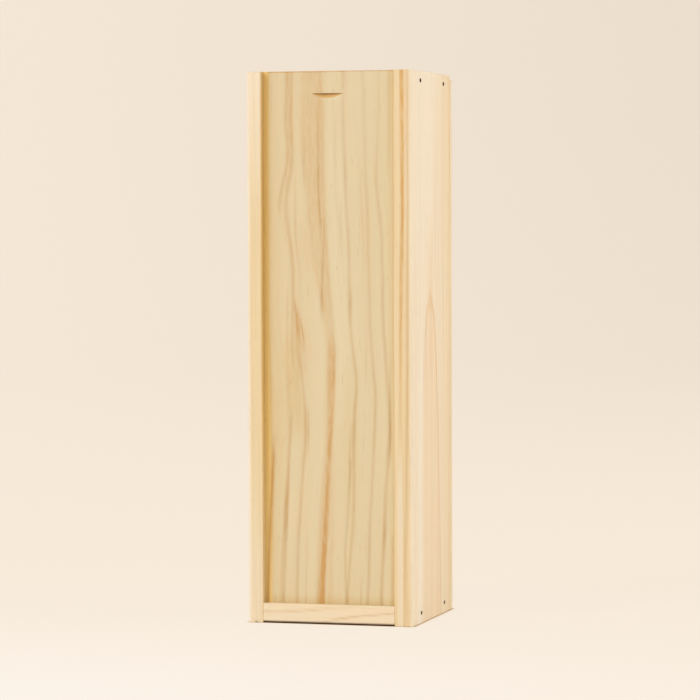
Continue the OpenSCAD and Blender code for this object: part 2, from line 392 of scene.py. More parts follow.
# The right side board: the flame on its face, whose inside is heartwood, and its front edge
FLAME_LEFT = (
    (212, -7.2, 0), (207, -7.4, 0), (203, -12.5, 0.65), (198, -15.4, 0.6), (190, -17.6, 0.55),
    (182, -19.8, 0.5), (174, -22, 0.45), (160, -24.3, 0.45), (148, -24.8, 0.45), (130, -26, 0.4),
    (100, -27.5, 0.35), (60, -28.5, 0.3), (0, -29, 0.3),
)
FLAME_RIGHT = (
    (212, -7.2, 0), (207, -7, 0), (203, -1.9, 0.65), (198, 1.6, 0.6), (190, 3.6, 0.55), (182, 5.4, 0.5),
    (174, 6.8, 0.45), (160, 8.6, 0.45), (148, 10.2, 0.45), (120, 13, 0.4), (90, 15, 0.35), (60, 17, 0.3),
    (0, 19.5, 0.3),
)
RIGHT_LINES = (
    Line(1.8, 1.2, FLAME_LEFT, 0.2),
    Line(1.2, 1.8, FLAME_RIGHT, 0.2),
    Line(1, 1, ((350, -43, 0.2), (200, -43, 0.25), (150, -44, 0.1), (0, -45, 0.15))),
    Line(1.4, 1.4, ((350, -32.5, 0.25), (300, -33.5, 0.15), (200, -36, 0.12), (0, -40, 0.1))),
    Line(1.2, 1.2, ((350, 27.5, 0.25), (250, 27, 0.15), (190, 28.5, 0.2), (140, 31, 0.15), (0, 34, 0.15))),
    Line(1, 1, ((350, 44.4, 0.35), (200, 44.6, 0.1), (100, 44.6, 0.1), (0, 44.4, 0.3))),
    Line(0.8, 0.8, ((350, 11, 0.1), (250, 14, 0.15), (200, 17.5, 0.12), (130, 23, 0.15), (0, 27, 0.15))),
)
RIGHT_BANDS = (
    Band(1.2, ((213, -8.5, -5.9, 0), (207, -9.5, -5, 0.5), (201, -11.5, -3, 0.4), (194, -13, -1, 0))),
    Band(1.5, (
        (265, -13, -1, 0), (235, -14, 0, 0.35), (212, -14, 0, 0.4), (205, -14, 0, 0.5),
        (191, -17.4, 3.4, 0.55), (174, -22, 6.8, 0.55), (150, -24.5, 10, 0.5), (100, -27.5, 14, 0.45),
        (0, -29, 19.5, 0.45),
    ), "heart"),
    Band(3, ((350, -60, 10, -0.3), (270, -60, 0, -0.3), (220, -40, -12, -0.15), (180, -38, -22, -0.15))),
    Band(2, ((180, -38, -22, -0.1), (150, -38, -24, -0.35), (0, -40, -26, -0.45))),
    Band(4, ((350, 24, 60, 0.35), (250, 26, 60, 0.4), (0, 26, 60, 0.4)), "yellow"),
    strip(1, 40, 45, ((350, 0.3), (280, 0.35), (200, 0.1), (0, 0.3)), "yellow"),
)
RIGHT_EDGE_LINES = (
    Line(1, 0.9, (
        (350, 47.3, 0.9), (320, 47.5, 0.95), (300, 47.7, 1), (255, 47.6, 1), (225, 47.1, 0.95),
        (190, 46.7, 0.8), (150, 46.3, 0.4), (110, 46, 0),
    ), 0.15),
    Line(0.8, 0.8, (
        (350, 51.2, 0.5), (255, 51.1, 0.6), (200, 51, 0.75), (140, 50.6, 0.8), (85, 50, 0.6), (50, 49, 0.5),
        (30, 48.6, 0.5), (0, 48.4, 0.5),
    ), 0.75),
    Line(0.5, 0.5, ((350, 45, 0.2), (200, 45.2, 0.25), (160, 45.4, 0.1), (0, 45.4, 0.1))),
    Line(0.4, 0.4, ((350, 49.4, 0.25), (200, 49.5, 0.3), (120, 49, 0.1), (0, 49, 0))),
    Line(0.5, 0.5, ((160, 45.4, 0), (130, 45.2, 0.15), (85, 44.1, 0.2), (50, 43.2, 0))),
)
RIGHT_EDGE_BANDS = (
    strip(0.3, 44.4, 47.3, ((120, 0), (85, -0.6), (0, -0.6)), "yellow"),
    strip(0.3, 44.4, 47.3, ((120, 0), (85, -0.3), (0, -0.3))),
    strip(0.4, 46.5, 49, ((350, 0.25), (270, 0.2), (200, 0))),
    strip(0.4, 49, 52.6, ((350, -0.3), (270, -0.25), (220, 0)), "yellow"),
    strip(0.5, 36, 52.6, ((350, 0.85), (200, 0.85), (0, 0.9)), "yellow"),
    # Painted shade at the lip's inner edge, beside the lid
    strip(0.8, 41, 43, ((350, 0.3), (250, 0.3), (200, 0), (0, 0.2))),
    Band(0.6, ((350, 48.5, 50, 0.15), (200, 48.5, 50, 0.1), (0, 47, 49.5, 0))),
    # A painted highlight along the rounded outer arris
    Band(0.3, ((350, 52.6, 58, -0.3), (0, 52.8, 58, -0.2))),
)

# The left side board: faint lines on its front edge, which turns yellower below its top, a painted
# highlight along its outer arris, and painted shade with a painted glow of bounced light on its lip's wall
LEFT_EDGE_LINES = (
    Line(0.6, 0.6, ((340, -51, 0), (290, -51, 0.25), (0, -51, 0.25))),
    Line(0.4, 0.4, ((285, -47, 0), (265, -47, 0.3), (240, -47.2, 0.3), (220, -47.4, 0))),
    Line(0.4, 0.4, ((350, -49.2, 0.1), (250, -49.3, 0.2), (100, -49, 0.15), (0, -49, 0.25))),
    Line(0.4, 0.4, ((200, -46.6, 0), (170, -46.5, 0.2), (60, -46.8, 0.2), (0, -46.6, 0.1))),
)
LEFT_EDGE_BANDS = (
    strip(0.6, -52.4, -36, (
        (350, 0.1), (325, 0.2), (290, 0.5), (250, 0.9), (120, 1), (80, 0.85), (40, 0.5), (0, 0.4),
    ), "yellow"),
    # A painted highlight along the outer arris
    strip(0.6, -60, -52.6, ((350, -0.2), (0, -0.2))),
    # Painted shade on the wall of the lip, with a painted glow of bounced light
    strip(0.15, -44.9, -40, ((350, 0.5), (150, 0.5), (90, 0.1), (0, 0.1))),
    strip(0.15, -44.75, -40, ((350, 0.4), (340, 0.9), (150, 0.9), (90, 0.3), (0, 0.3)), "bounce_glow"),
    strip(0.15, -44.75, -40, ((350, 0.5), (200, 0.45), (120, 0), (0, 0)), "shade"),
    strip(0.8, -60, -48, ((200, 0), (120, -0.15), (80, -0.35), (0, -0.35))),
)

# The bottom end board: two slanting lines on its front edge, as (place along it, height, tone), with
# painted shade along the edge's foot and yellower wood along its top
BOTTOM_EDGE_LINES = (
    Line(0.6, 0.5, (
        (-45, 7.5, 0.6), (-36, 7, 0.6), (-25, 7.5, 0.6), (-15, 8.5, 0.5), (-5, 9.5, 0.4), (14, 10.8, 0),
    )),
    Line(0.6, 0.8, (
        (-10, 0.8, 0), (0, 2.5, 0.5), (10, 4.5, 0.8), (20, 6, 0.7), (32, 7, 0.6), (43, 8, 0.5),
    )),
)
BOTTOM_EDGE_BANDS = (
    strip(0.12, -3, 1, ((-60, 1), (60, 1)), "deep_shade"),
    strip(0.4, 10.8, 16, ((-60, 0.3), (60, 0.3)), "yellow"),
)


# Knocks on the side boards: at a foot, along a front edge, and at the top
LEFT_DENTS = (Dent((-52.5, -48.5, 0), 1.5, 1.0), Dent((-52.5, -54, 118), 2.2, 0.25))
RIGHT_DENTS = (Dent((-52.5, 54, 214), 2.0, 0.2), Dent((-52.5, 46.5, 350), 0.9, 0.5))

# The paper's colours: plain, painted lamp light before the box, and painted dimness far behind it
PAPER_PLAIN = "F6E9D8"
PAPER_PALE = "FBF2E8"
PAPER_DIM = "ECDFCE"

# Where the paper is palest, plain again and dimmest, in metres behind the box, and the shares of the
# pale and the dim colour that it reaches at the left and at the right of the view
PAPER_PLACES = (-0.35, 0.4, 4.5)
PAPER_LEFT = (1, 0.2)
PAPER_RIGHT = (0.5, 1)
PAPER_STEPS = (0, 0.25, 0.5, 0.75, 1)

# Where the paper's colours start, how far they run, and the view's breadth, all in metres: at the
# box, and its growth for each metre behind it
PAPER_START = -0.4
PAPER_LENGTH = 5
VIEW_BREADTH = 0.42
VIEW_GROWTH = 0.19

# The bowl of paper, in metres: its flat floor's radius, its bend's radius and its wall's height, and
# the number of its cells round the box
PAPER_FLOOR = 3.2
PAPER_BEND = 1.5
PAPER_WALL = 2.5
PAPER_TURNS = 96

# How bright the paper's own colour is to the lens, and what share of the paper it is: the rest is
# plain paper in the lamps' light. Last, how far round the box its painted contact shadow reaches, in metres
PAPER_BRIGHT = 1.02
PAPER_SHARE = 0.92
CONTACT_REACH = 0.0025

# The lamps' places and sizes, in metres
KEY_PLACE = (-2.17, -2.77, 2.46)
KEY_SIZE = (1.2, 0.8)
FILL_PLACE = (2.3, 0.35, 0.8)
FILL_SIZE = (1.6, 1.6)

# The camera: its lens and its film's width in mm, its distance in metres, its turn about the box
# from straight ahead to the right, how far it looks down, how far it leans, and the point on the
# plane of the box's front that it aims at, as (x, z) in mm
CAMERA_LENS = 172.53
CAMERA_FILM = 36
CAMERA_DISTANCE = 2.11445
CAMERA_TURN = math.radians(15.57)
CAMERA_DOWN = math.radians(2.22)
CAMERA_LEAN = math.radians(-0.18)
CAMERA_AIM = (13.36, 174.12)

# The sockets of a colour Mix node: how much of the second colour, the first colour and the second
SHARE, FIRST, SECOND = 0, 6, 7


def linear(colour):
    """The linear colour that Blender works in, from an sRGB hex value such as E1C69B."""
    shares = [int(colour[i : i + 2], 16) / 255 for i in (0, 2, 4)]
    return tuple(s / 12.92 if s <= 0.04045 else ((s + 0.055) / 1.055) ** 2.4 for s in shares)


def colour_property(name, description, colour):
    """A colour that the user may change, whose default is an sRGB hex value."""
    return FloatVectorProperty(
        name=name, description=description, default=linear(colour), subtype="COLOR", size=3, min=0, max=1
    )


class BoardSettings(bpy.types.PropertyGroup):
    """How worn the boards are."""

    wear: FloatProperty(
        name="Edge wear", description="How deep the long edges are rubbed where they are most worn",
        default=0.22 * MM, min=0, max=0.5 * MM, unit="LENGTH", precision=5,
    )
    torn: FloatProperty(
        name="Torn ends", description="How far the sawn ends' edges are torn at most",
        default=0.45 * MM, min=0.1 * MM, max=0.7 * MM, unit="LENGTH", precision=5,
    )


class PineSettings(bpy.types.PropertyGroup):
    """Colours of the pine."""

    lid: colour_property("Lid", "Plain wood of the lid", "E2D4B0")
    lid_pale: colour_property("Pale lid", "Palest wood of the lid", "EAE1C4")
    lid_streak: colour_property("Lid streak", "Strongest streaks of the lid", "D0A56A")
    side: colour_property("Sides", "Plain wood of the side boards", "F0E4CD")
    side_pale: colour_property("Pale sides", "Palest wood of the side boards", "F4ECDC")
    side_streak: colour_property("Side streak", "Strongest streaks of the side boards", "DDB67A")
    heart: colour_property("Heartwood", "Filter that turns plain wood to heartwood", "FBEDDC")
    yellow: colour_property("Yellowed wood", "Filter for wood that light has aged", "F9F1D9")
    # The thin latewood filter also gives painted shade: beside the lips, on the left lip's wall, in the
    # notch and up the lid
    shade: colour_property("Thin latewood", "Filter over the finest lines of the grain", "B8964C")
    # A painted glow of bounced light, in the painted shade by the lips and on the notch's floor
    bounce_glow: colour_property("Amber wood", "Wood in bounced light, by the lips and in the notch", "F4D284")
    end: colour_property("End boards", "Plain wood of the end boards", "F2E4C8")
    panel: colour_property("Back panel", "Plain wood of the back panel", "EEDEC0")
    canal: colour_property("Resin canals", "Short dark dashes along the grain", "B08452")
    # This colour is painted shade: deep in the brads' slots, in the notch's corner and along the bottom
    # board's foot
    deep_shade: colour_property("Grime", "Dirt in the brads' slots and in the notch's corner", "3E2812")


class StageSettings(bpy.types.PropertyGroup):
    """Lamps and the room's light."""

    key: FloatProperty(
        name="Key lamp", description="Power of the soft lamp at the front left",
        default=69, min=0, unit="POWER",
    )
    fill: FloatProperty(
        name="Fill lamp", description="Power of the large soft lamp on the right",
        default=20, min=0, unit="POWER",
    )
    air: FloatProperty(
        name="Room light", description="Strength of the even light from all round", default=0.61, min=0
    )


def box_mm(node):
    """Lowest and highest corner of a CAD node, in mm."""
    lo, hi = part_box(node)
    return np.array(lo) / MM, np.array(hi) / MM


def wander(places, step, seed):
    """A smooth curve of random height from 0 to 1: knots a step apart, eased from each to the next."""
    places = np.asarray(places, float)
    low = math.floor(places.min() / step)
    knots = np.random.default_rng(seed).random(math.ceil(places.max() / step) - low + 2)
    at = places / step - low
    cell = np.floor(at).astype(int)
    share = at - cell
    share = share * share * (3 - 2 * share)
    return knots[cell] * (1 - share) + knots[cell + 1] * share


def eased(path, column, w):
    """A column of a path at the places w: straight from point to point, then averaged over 9 mm twice."""
    points = np.array(path, float)
    points = points[np.argsort(points[:, 0])]
    fine = np.arange(w.min() - 20, w.max() + 21)
    values = np.interp(fine, points[:, 0], points[:, column])
    window = np.ones(9) / 9
    for _ in range(2):
        values = np.convolve(np.pad(values, 4, mode="edge"), window, mode="valid")
    return np.interp(w, fine, values)


def drawn(lines, bands, across, along):
    """The drawn grain at each point, as the sums of its tones by kind.

    A line is a bell curve about its path, with a width for either side. A band steps up softly at
    one side and down at the other.
    """
    sums = {kind: np.zeros_like(across) for kind in ("streak", "shade", "yellow", "heart", "bounce_glow", "deep_shade")}
    for line in lines:
        off = across - eased(line.path, 1, along)
        width = np.where(off < 0, line.low, line.high)
        tone = eased(line.path, 2, along) * np.exp(-((off / width) ** 2))
        sums["streak"] += tone * (1 - line.shade)
        sums["shade"] += tone * line.shade / 2
    for band in bands:
        rise = np.tanh((across - eased(band.path, 1, along)) / band.soft)
        fall = np.tanh((across - eased(band.path, 2, along)) / band.soft)
        sums[band.kind] += eased(band.path, 3, along) * (rise - fall) / 2
    return sums


def drawn_on_board(board, u, v, w, place):
    """The drawn grain of a board, from where each point's ring meets its face.

    Near the front edge the edge's own lines take over. The face's lines keep their strength for
    4 mm below it, and then weaken until only 0.4 of it is left.
    """
    sums = drawn(board.lines, board.bands, place, w)
    if board.edge_lines or board.edge_bands:
        within = np.clip((8 - np.abs(v - board.face_v)) / 4, 0.4, 1)
        on_edge = np.clip(2 - (u - board.u[0]) / 2.5, 0, 1)
        edge = drawn(board.edge_lines, board.edge_bands, v, w)
        sums = {kind: sums[kind] * within * (1 - on_edge) + edge[kind] * on_edge for kind in sums}
    return sums


def straightened(across, along, guides):
    """Takes the bends out of the grain: between two guides, a point keeps its share of the way across."""
    if not guides:
        return across
    far = 200
    bent = [eased(guide.path, 1, along) for guide in guides]
    even = [float(np.mean([point[1] for point in guide.path])) for guide in guides]
    bent = [np.full_like(across, -far), *bent, np.full_like(across, far)]
    even = [-far, *even, far]
    straight = np.zeros_like(across)
    for low, high, even_low, even_high in zip(bent, bent[1:], even, even[1:]):
        share = (across - low) / (high - low)
        inside = (share >= 0) & (share < 1)
        straight[inside] = even_low + share[inside] * (even_high - even_low)
    return straight


def rings_at(board, u, v, w):
    """The ring through each point of a board: its radius, and where it meets the board's face.

    A ring is a circle about the pith, a line that runs up beside the board and wanders. Rings too
    small to meet the face count down from its middle.
    """
    pith_u = board.pith[0] + board.pith[2] * (wander(w, PITH_WANDER[0], board.seed) - 0.5)
    pith_v = board.pith[1] + board.pith[3] * (wander(w, PITH_WANDER[1], board.seed + 1) - 0.5)
    square = (u - pith_u) ** 2 + (v - pith_v) ** 2
    beyond = square - (board.face_v - board.pith[1]) ** 2
    return np.sqrt(square), board.pith[0] + np.sign(u - pith_u) * np.sqrt(np.maximum(beyond, 0))


def slot_shade(board, u, v, w):
    """Painted shade in each brad's slot, from 0 to 1: it starts just below the face, and fades out round the
    slot.
    """
    deep_shade = np.zeros_like(u)
    for slot in board.slots:
        off = np.abs(np.stack([u, w], 1) - slot.middle) - np.array(slot.size) / 2
        face = board.v[0] if slot.side == "low" else board.v[1]
        sunk = np.clip((np.abs(v - face) - 0.03) / 0.12, 0, 1)
        spread = UPPER_SHADE if slot.middle[1] > 100 else LOWER_SHADE
        deep_shade = np.maximum(deep_shade, np.clip(spread - off.max(1) / 0.5, 0, 1) * sunk)
    return deep_shade


def notch_marks(board, u, w, depth):
    """Four places of the lid, each from 0 to 1.

    They are the wood cut open by the notch, the corner under the notch's wall, the lowest 10 mm of
    the lid's face and its top edge.
    """
    middle, wall = board.notch
    beside = np.abs(u - middle) < NOTCH_W / 2 + 0.1
    within = np.abs(w - wall + NOTCH_H / 2) < NOTCH_H / 2 + 0.1
    cut = (beside & within) * np.clip(depth / 0.15, 0, 1)
    corner = cut * np.clip((w - wall + 1.0) / 0.5, 0, 1)
    on_face = np.clip(2 - depth / 2, 0, 1)
    foot = np.clip((board.w[0] + 10 - w) / 6, 0, 1) * on_face
    top = np.clip((w - board.w[1] + 0.9) / 0.4, 0, 1) * on_face
    return cut, corner, foot, top


def grain(board, points):
    """What the wood is like at each point of a board, as named arrays.

    The ring through a point is named by where it meets the board's face, so that the lines drawn
    on the face carry on through the wood. A streak keeps most of the painted glow of bounced light off.
    """
    u, v, w = points.T
    depth = np.abs(v - board.face_v)
    radius, place = rings_at(board, u, v, w)
    sums = drawn_on_board(board, u, v, w, place)
    tone = sums["streak"]
    bare = 1 - 0.7 * np.clip(tone, 0, 1)
    # Painted deep shade, from the bands and in the brads' slots
    deep_shade = np.maximum(np.clip(sums["deep_shade"], 0, 1), slot_shade(board, u, v, w))
    if board.notch:
        cut, corner, foot, top = notch_marks(board, u, w, depth)
        tone = tone * (1 - cut) + cut * (0.8 + 0.15 * depth)
        # On the lid's foot above the bottom board's lip, painted shade, darker and yellower; its top edge is
        # darker too
        tone = tone + 0.2 * foot + 0.7 * top
        sums["yellow"] += 0.5 * foot
        # In the notch: painted shade and a painted glow of bounced light on its floor, and a painted shadow
        # in the corner under its wall
        sums["shade"] += 0.1 * cut
        sums["bounce_glow"] += 0.3 * cut
        deep_shade = 0.2 * corner
    straight = straightened(place, w, board.guides)
    from_end = np.minimum(w - board.w[0], board.w[1] - w)
    return {
        "figure": np.stack([straight - place + u, v, w], 1) * MM,
        "rings": radius * MM,
        "tone": tone,
        "tint": np.clip(np.stack([sums["heart"], sums["yellow"], sums["shade"]], 1), 0, 1),
        "bounce_glow": np.clip(sums["bounce_glow"] * bare, 0, 1),
        "ends": np.clip(1.15 - from_end / 0.5, 0, 1),
        "deep_shade": deep_shade,
    }


def arc(middle, radius, start, end, steps):
    """Points on a circle about middle, from one angle to another in degrees."""
    a = np.radians(np.linspace(start, end, steps + 1))
    return np.stack([middle[0] + radius * np.cos(a), middle[1] + radius * np.sin(a)], 1)


def run(corners, step):
    """A path through corners, cut into cells no longer than step, and the place of each corner in it."""
    points, places = [np.array(corners[0], float)[None]], [0]
    for a, b in zip(corners, corners[1:]):
        a, b = np.array(a, float), np.array(b, float)
        cells = max(1, math.ceil(np.linalg.norm(b - a) / step - 1e-9))
        points.append(a + (b - a) * (np.arange(1, cells + 1) / cells)[:, None])
        places.append(places[-1] + cells)
    return np.concatenate(points), places


def grooved(cut, other, groove, step):
    """A face with a groove, and the face behind it with as many points, from each face's two ends.

    The points of the face behind fan out under the groove's walls.
    """
    start, stop, floor = groove
    face, behind = cut[0][1], other[0][1]
    curve, places = run([cut[0], (start, face), (start, floor), (stop, floor), (stop, face), cut[1]], step)
    keys = [other[0][0], start - GROOVE_FAN, start, stop, stop + GROOVE_FAN, other[1][0]]
    across = np.interp(np.arange(len(curve)), places, keys)
    return curve, np.stack([across, np.full(len(curve), behind)], 1)


def section(board, low_ease, high_ease, step, groove=None):
    """The two long faces of a board's section, as two curves in (u, v) with matched points.

    Each runs from one edge round an eased corner, over the face and round the other corner. A groove
    is (from, to, floor): two places across the board, and the height of its floor. It is cut into
    the face that it lies nearer to.
    """
    (u0, u1), (v0, v1) = board.u, board.v
    low_ends = (u0 + low_ease, v0), (u1 - low_ease, v0)
    high_ends = (u0 + high_ease, v1), (u1 - high_ease, v1)
    if groove is None:
        points = math.ceil((u1 - u0) / step) + 1
        low, high = np.linspace(*low_ends, points), np.linspace(*high_ends, points)
    elif abs(v1 - groove[2]) < abs(v0 - groove[2]):
        high, low = grooved(high_ends, low_ends, groove, step)
    else:
        low, high = grooved(low_ends, high_ends, groove, step)
    low = np.concatenate([
        arc((u0 + low_ease, v0 + low_ease), low_ease, 180, 270, EASE_STEPS)[:-1], low,
        arc((u1 - low_ease, v0 + low_ease), low_ease, 270, 360, EASE_STEPS)[1:],
    ])
    high = np.concatenate([
        arc((u0 + high_ease, v1 - high_ease), high_ease, 180, 90, EASE_STEPS)[:-1], high,
        arc((u1 - high_ease, v1 - high_ease), high_ease, 90, 0, EASE_STEPS)[1:],
    ])
    return low, high


def stations_along(start, stop):
    """The places of a board's sections along it: close together at its ends, and even between."""
    near = np.array(END_STATIONS)
    count = round((stop - start) / ALONG) + 1
    middle = np.linspace(start + near[-1], stop - near[-1], count)[1:-1]
    return np.concatenate([start + near, middle, stop - near[::-1]])


def sheet(ids):
    """Faces over a grid of point numbers."""
    return np.stack([ids[:-1, :-1], ids[:-1, 1:], ids[1:, 1:], ids[1:, :-1]], -1)


class Skin:
    """The surface of a board: its section carried along the grain, closed by a grid on either end.

    The section is a ring of points: its low face, an edge, its high face backwards and the other
    edge. A point of the surface is its point of the ring, moved inwards where an end is torn or an
    edge worn, at a station along the grain. An end's grid runs between the two faces.
    """

    def __init__(self, board, sides, settings, sawn=True):
        low, high = sides
        self.board = board
        self.width = len(low)
        self.cells = max(3, round((board.v[1] - board.v[0]) / COARSE))
        share = (np.arange(1, self.cells) / self.cells)[:, None]
        edge_high = low[-1] + (high[-1] - low[-1]) * share
        edge_low = high[0] + (low[0] - high[0]) * share
        self.ring = np.concatenate([low, edge_high, high[::-1], edge_low])
        self.stations = stations_along(*board.w)
        self.low_columns = np.arange(self.width)
        self.high_columns = self.width + self.cells - 1 + np.arange(self.width)[::-1]

        inset = self.torn_ends(settings.torn / MM, sawn) + self.worn_edges(settings.wear / MM)
        tangent = np.roll(self.ring, -1, 0) - np.roll(self.ring, 1, 0)
        outward = np.stack([tangent[:, 1], -tangent[:, 0]], 1)
        outward /= np.linalg.norm(outward, axis=1)[:, None]
        flat = self.ring[None] - outward[None] * inset[..., None]
        along = np.broadcast_to(self.stations[:, None, None], inset.shape + (1,))
        self.points = [np.concatenate([flat, along], 2).reshape(-1, 3)]
        self.count = inset.size
        self.ids = np.arange(self.count).reshape(inset.shape)
        self.gone = np.zeros((len(self.stations) - 1, len(self.ring)), bool)
        self.faces, self.triangles = [], []
        for row in (0, len(self.stations) - 1):
            self.cap(row)

    def torn_ends(self, torn, sawn):
        """How far each point of the ring moves in at each station, where the saw tore an end's edge.

        The edge is a round whose radius r wanders round the ring, quickly times slowly. Where the
        distance to the end falls short of r by s, a point moves in by r less the root of r² - s².
        """
        board, stations = self.board, self.stations
        girth = np.concatenate([[0], np.cumsum(np.linalg.norm(np.diff(self.ring, axis=0), axis=1))])
        inset = np.zeros((len(stations), len(self.ring)))
        for end, from_end in enumerate((stations - board.w[0], board.w[1] - stations)):
            seed = board.seed + 5 + end
            ragged = wander(girth, TEAR_WANDER[0], seed) * wander(girth, TEAR_WANDER[1], seed + 10)
            radius = END_EASE + (torn - END_EASE) * (ragged if sawn else 0.2 * ragged)
            short = np.clip(radius[None] - from_end[:, None], 0, None)
            inset += radius[None] - np.sqrt(radius[None] ** 2 - short**2)
        return inset

    def worn_edges(self, wear):
        """How far each point of the ring moves in at each station, where a long edge is rubbed.

        Round an edge's corner the wear is half a sine. Along the edge it wanders, quickly times slowly.
        """
        inset = np.zeros((len(self.stations), len(self.ring)))
        over_corner = np.sin(np.pi * np.arange(EASE_STEPS + 1) / EASE_STEPS)
        high_start, last = self.width + self.cells - 1, self.width - EASE_STEPS - 1
        for first in (0, last, high_start, high_start + last):
            seed = self.board.seed + first
            worn = wear * wander(self.stations, WEAR_WANDER[0], seed)
            worn = worn * wander(self.stations, WEAR_WANDER[1], seed + 1)
            inset[:, first : first + EASE_STEPS + 1] = worn[:, None] * over_corner
        return inset

    def add(self, points):
        """Takes in new points and gives their numbers."""
        first = self.count
        self.points.append(points.reshape(-1, 3))
        self.count += points.size // 3
        return np.arange(first, self.count).reshape(points.shape[:-1])

    def join(self, inner, outer):
        """Adds faces between two closed loops of as many points."""
        self.faces.append(np.stack([outer, np.roll(outer, -1), np.roll(inner, -1), inner], -1))

    def cap(self, row):
        """Closes an end with a grid whose outside points are the ring's own."""
        width, cells, ring = self.width, self.cells, self.ids[row]
        section_points = self.points[0].reshape(self.ids.shape + (3,))[row]
        low, high = section_points[self.low_columns], section_points[self.high_columns]
        share = (np.arange(cells + 1) / cells)[None, :, None]
        grid = low[:, None] * (1 - share) + high[:, None] * share
        ids = np.empty(grid.shape[:2], int)
        ids[1:-1, 1:-1] = self.add(grid[1:-1, 1:-1])
        ids[:, 0], ids[:, -1] = ring[self.low_columns], ring[self.high_columns]
        ids[-1, 1:-1] = ring[width : width + cells - 1]
        ids[0, 1:-1] = ring[2 * width + cells - 1 :][::-1]
        self.faces.append(sheet(ids).reshape(-1, 4))

    def hole(self, side, middle, size, margin, even=False):
        """Takes out the cells round a cut on one face, and gives the hole's edge as a loop of point numbers.

        The loop starts at the lower left corner and runs right, up, left and down. With it come the
        numbers of cells across and along the hole, and even makes the second one even.
        """
        columns = self.low_columns if side == "low" else self.high_columns
        across = self.ring[columns, 0]
        first = np.searchsorted(across, middle[0] - size[0] / 2 - margin) - 1
        last = np.searchsorted(across, middle[0] + size[0] / 2 + margin)
        below = np.searchsorted(self.stations, middle[1] - size[1] / 2 - margin) - 1
        above = np.searchsorted(self.stations, middle[1] + size[1] / 2 + margin)
        if even and (above - below) % 2:
            below -= 1
        block = self.ids[below : above + 1][:, columns[first : last + 1]]
        cells = np.minimum(columns[first:last], columns[first + 1 : last + 1])
        self.gone[below:above, cells[:, None].T] = True
        loop = np.concatenate([block[0, :-1], block[:-1, -1], block[-1, :0:-1], block[:0:-1, 0]])
        return loop, last - first, above - below

    def slot(self, slot):
        """A driven brad's slot: the hole's edge scaled down to the slot, then walls and a floor.

        The wood round the slot is drawn down a little, and the slot's corners are rounded.
        """
        loop, _, _ = self.hole(slot.side, slot.middle, slot.size, SLOT_MARGIN)
        outside = np.concatenate(self.points)[loop]
        face = outside[:, 1].mean()
        inward = 1 if slot.side == "low" else -1
        square = outside[:, [0, 2]]
        unit = (square - (square.min(0) + square.max(0)) / 2) / np.ptp(square, axis=0) * 2
        unit[np.abs(unit).min(1) > 0.99] *= SLOT_CORNER
        rim = loop
        for grow, depth in SLOT_PROFILE:
            at = np.array(slot.middle) + unit * (np.array(slot.size) / 2 + grow)
            ids = self.add(np.stack([at[:, 0], np.full(len(at), face + inward * depth), at[:, 1]], 1))
            self.join(ids, rim)
            rim = ids
        centre = self.add(np.array([[slot.middle[0], face + inward * SLOT_DEEP, slot.middle[1]]]))[0]
        self.triangles.append(np.stack([rim, np.roll(rim, -1), np.full(len(rim), centre)], 1))

    def notch(self, middle, wall):
        """The finger notch: a cylinder that leans out of the face, cut off by a straight wall.

        The cylinder leans so that each line along it falls from the face, at the arc, to its depth at
        the wall. Its radius makes the wall as wide as the notch. Under a point at distance x from the
        middle, the depth at the wall is what the cylinder reaches there, and the floor climbs from it
        to the face at the lean's slope.
        """
        centre = middle, wall - NOTCH_H / 2
        loop, wide, high = self.hole("low", centre, (NOTCH_W, NOTCH_H), NOTCH_MARGIN, even=True)
        lean = math.atan(NOTCH_DEEP / NOTCH_H)
        sink = NOTCH_DEEP * math.cos(lean)
        radius = ((NOTCH_W / 2) ** 2 + sink**2) / (2 * sink)
        x = np.linspace(-NOTCH_W / 2, NOTCH_W / 2, wide + high + 1)
        depth = np.maximum(np.sqrt(radius**2 - x**2) - (radius - sink), 0) / math.cos(lean)
        rows = [(share, 0) for share in NOTCH_WALL] + [(1 - share, share) for share in NOTCH_FLOOR]
        grid = np.stack([
            np.stack([middle + x, self.board.v[0] + depth * down, wall - depth * out / math.tan(lean)], 1)
            for down, out in rows
        ])
        ids = np.empty(grid.shape[:2], int)
        ids[:, 1:-1] = self.add(grid[:, 1:-1])
        ids[:, 0], ids[:, -1] = self.add(grid[0, [0, -1]])
        self.faces.append(sheet(ids[:, 1:-1]).reshape(-1, 4))
        for end, beside in ((0, 1), (-1, -2)):
            corner = np.full(len(rows) - 1, ids[0, end])
            self.triangles.append(np.stack([corner, ids[:-1, beside], ids[1:, beside]], 1))
        # The notch's outline, from the lower left corner of the hole round to it again
        half = high // 2
        outline = np.concatenate([ids[-1, half:], ids[0, ::-1][1:], ids[-1, 1:half]])
        self.join(outline, loop)

    def finished(self):
        """The points that faces use, and all the faces, with the walls of the board's long sides."""
        around = np.concatenate([self.ids, self.ids[:, :1]], 1)
        faces = [np.concatenate([sheet(around)[~self.gone], *self.faces])]
        if self.triangles:
            faces.append(np.concatenate(self.triangles))
        used = np.zeros(self.count, bool)
        for part in faces:
            used[part.ravel()] = True
        number = np.cumsum(used) - 1
        return np.concatenate(self.points)[used], [number[part] for part in faces]


def dented(board, points):
    """Pushes points near each knock towards the middle of the board, most at its middle."""
    centre = np.array([np.mean(board.u), np.mean(board.v), np.mean(board.w)])
    for dent in board.dents:
        middle = np.array(dent.middle, float)
        near = np.clip(1 - (np.linalg.norm(points - middle, axis=1) / dent.radius) ** 2, 0, 1) ** 2
        inward = np.sign(centre - middle)
        inward /= np.linalg.norm(inward)
        points = points + inward * (dent.depth * near)[:, None]
    return points


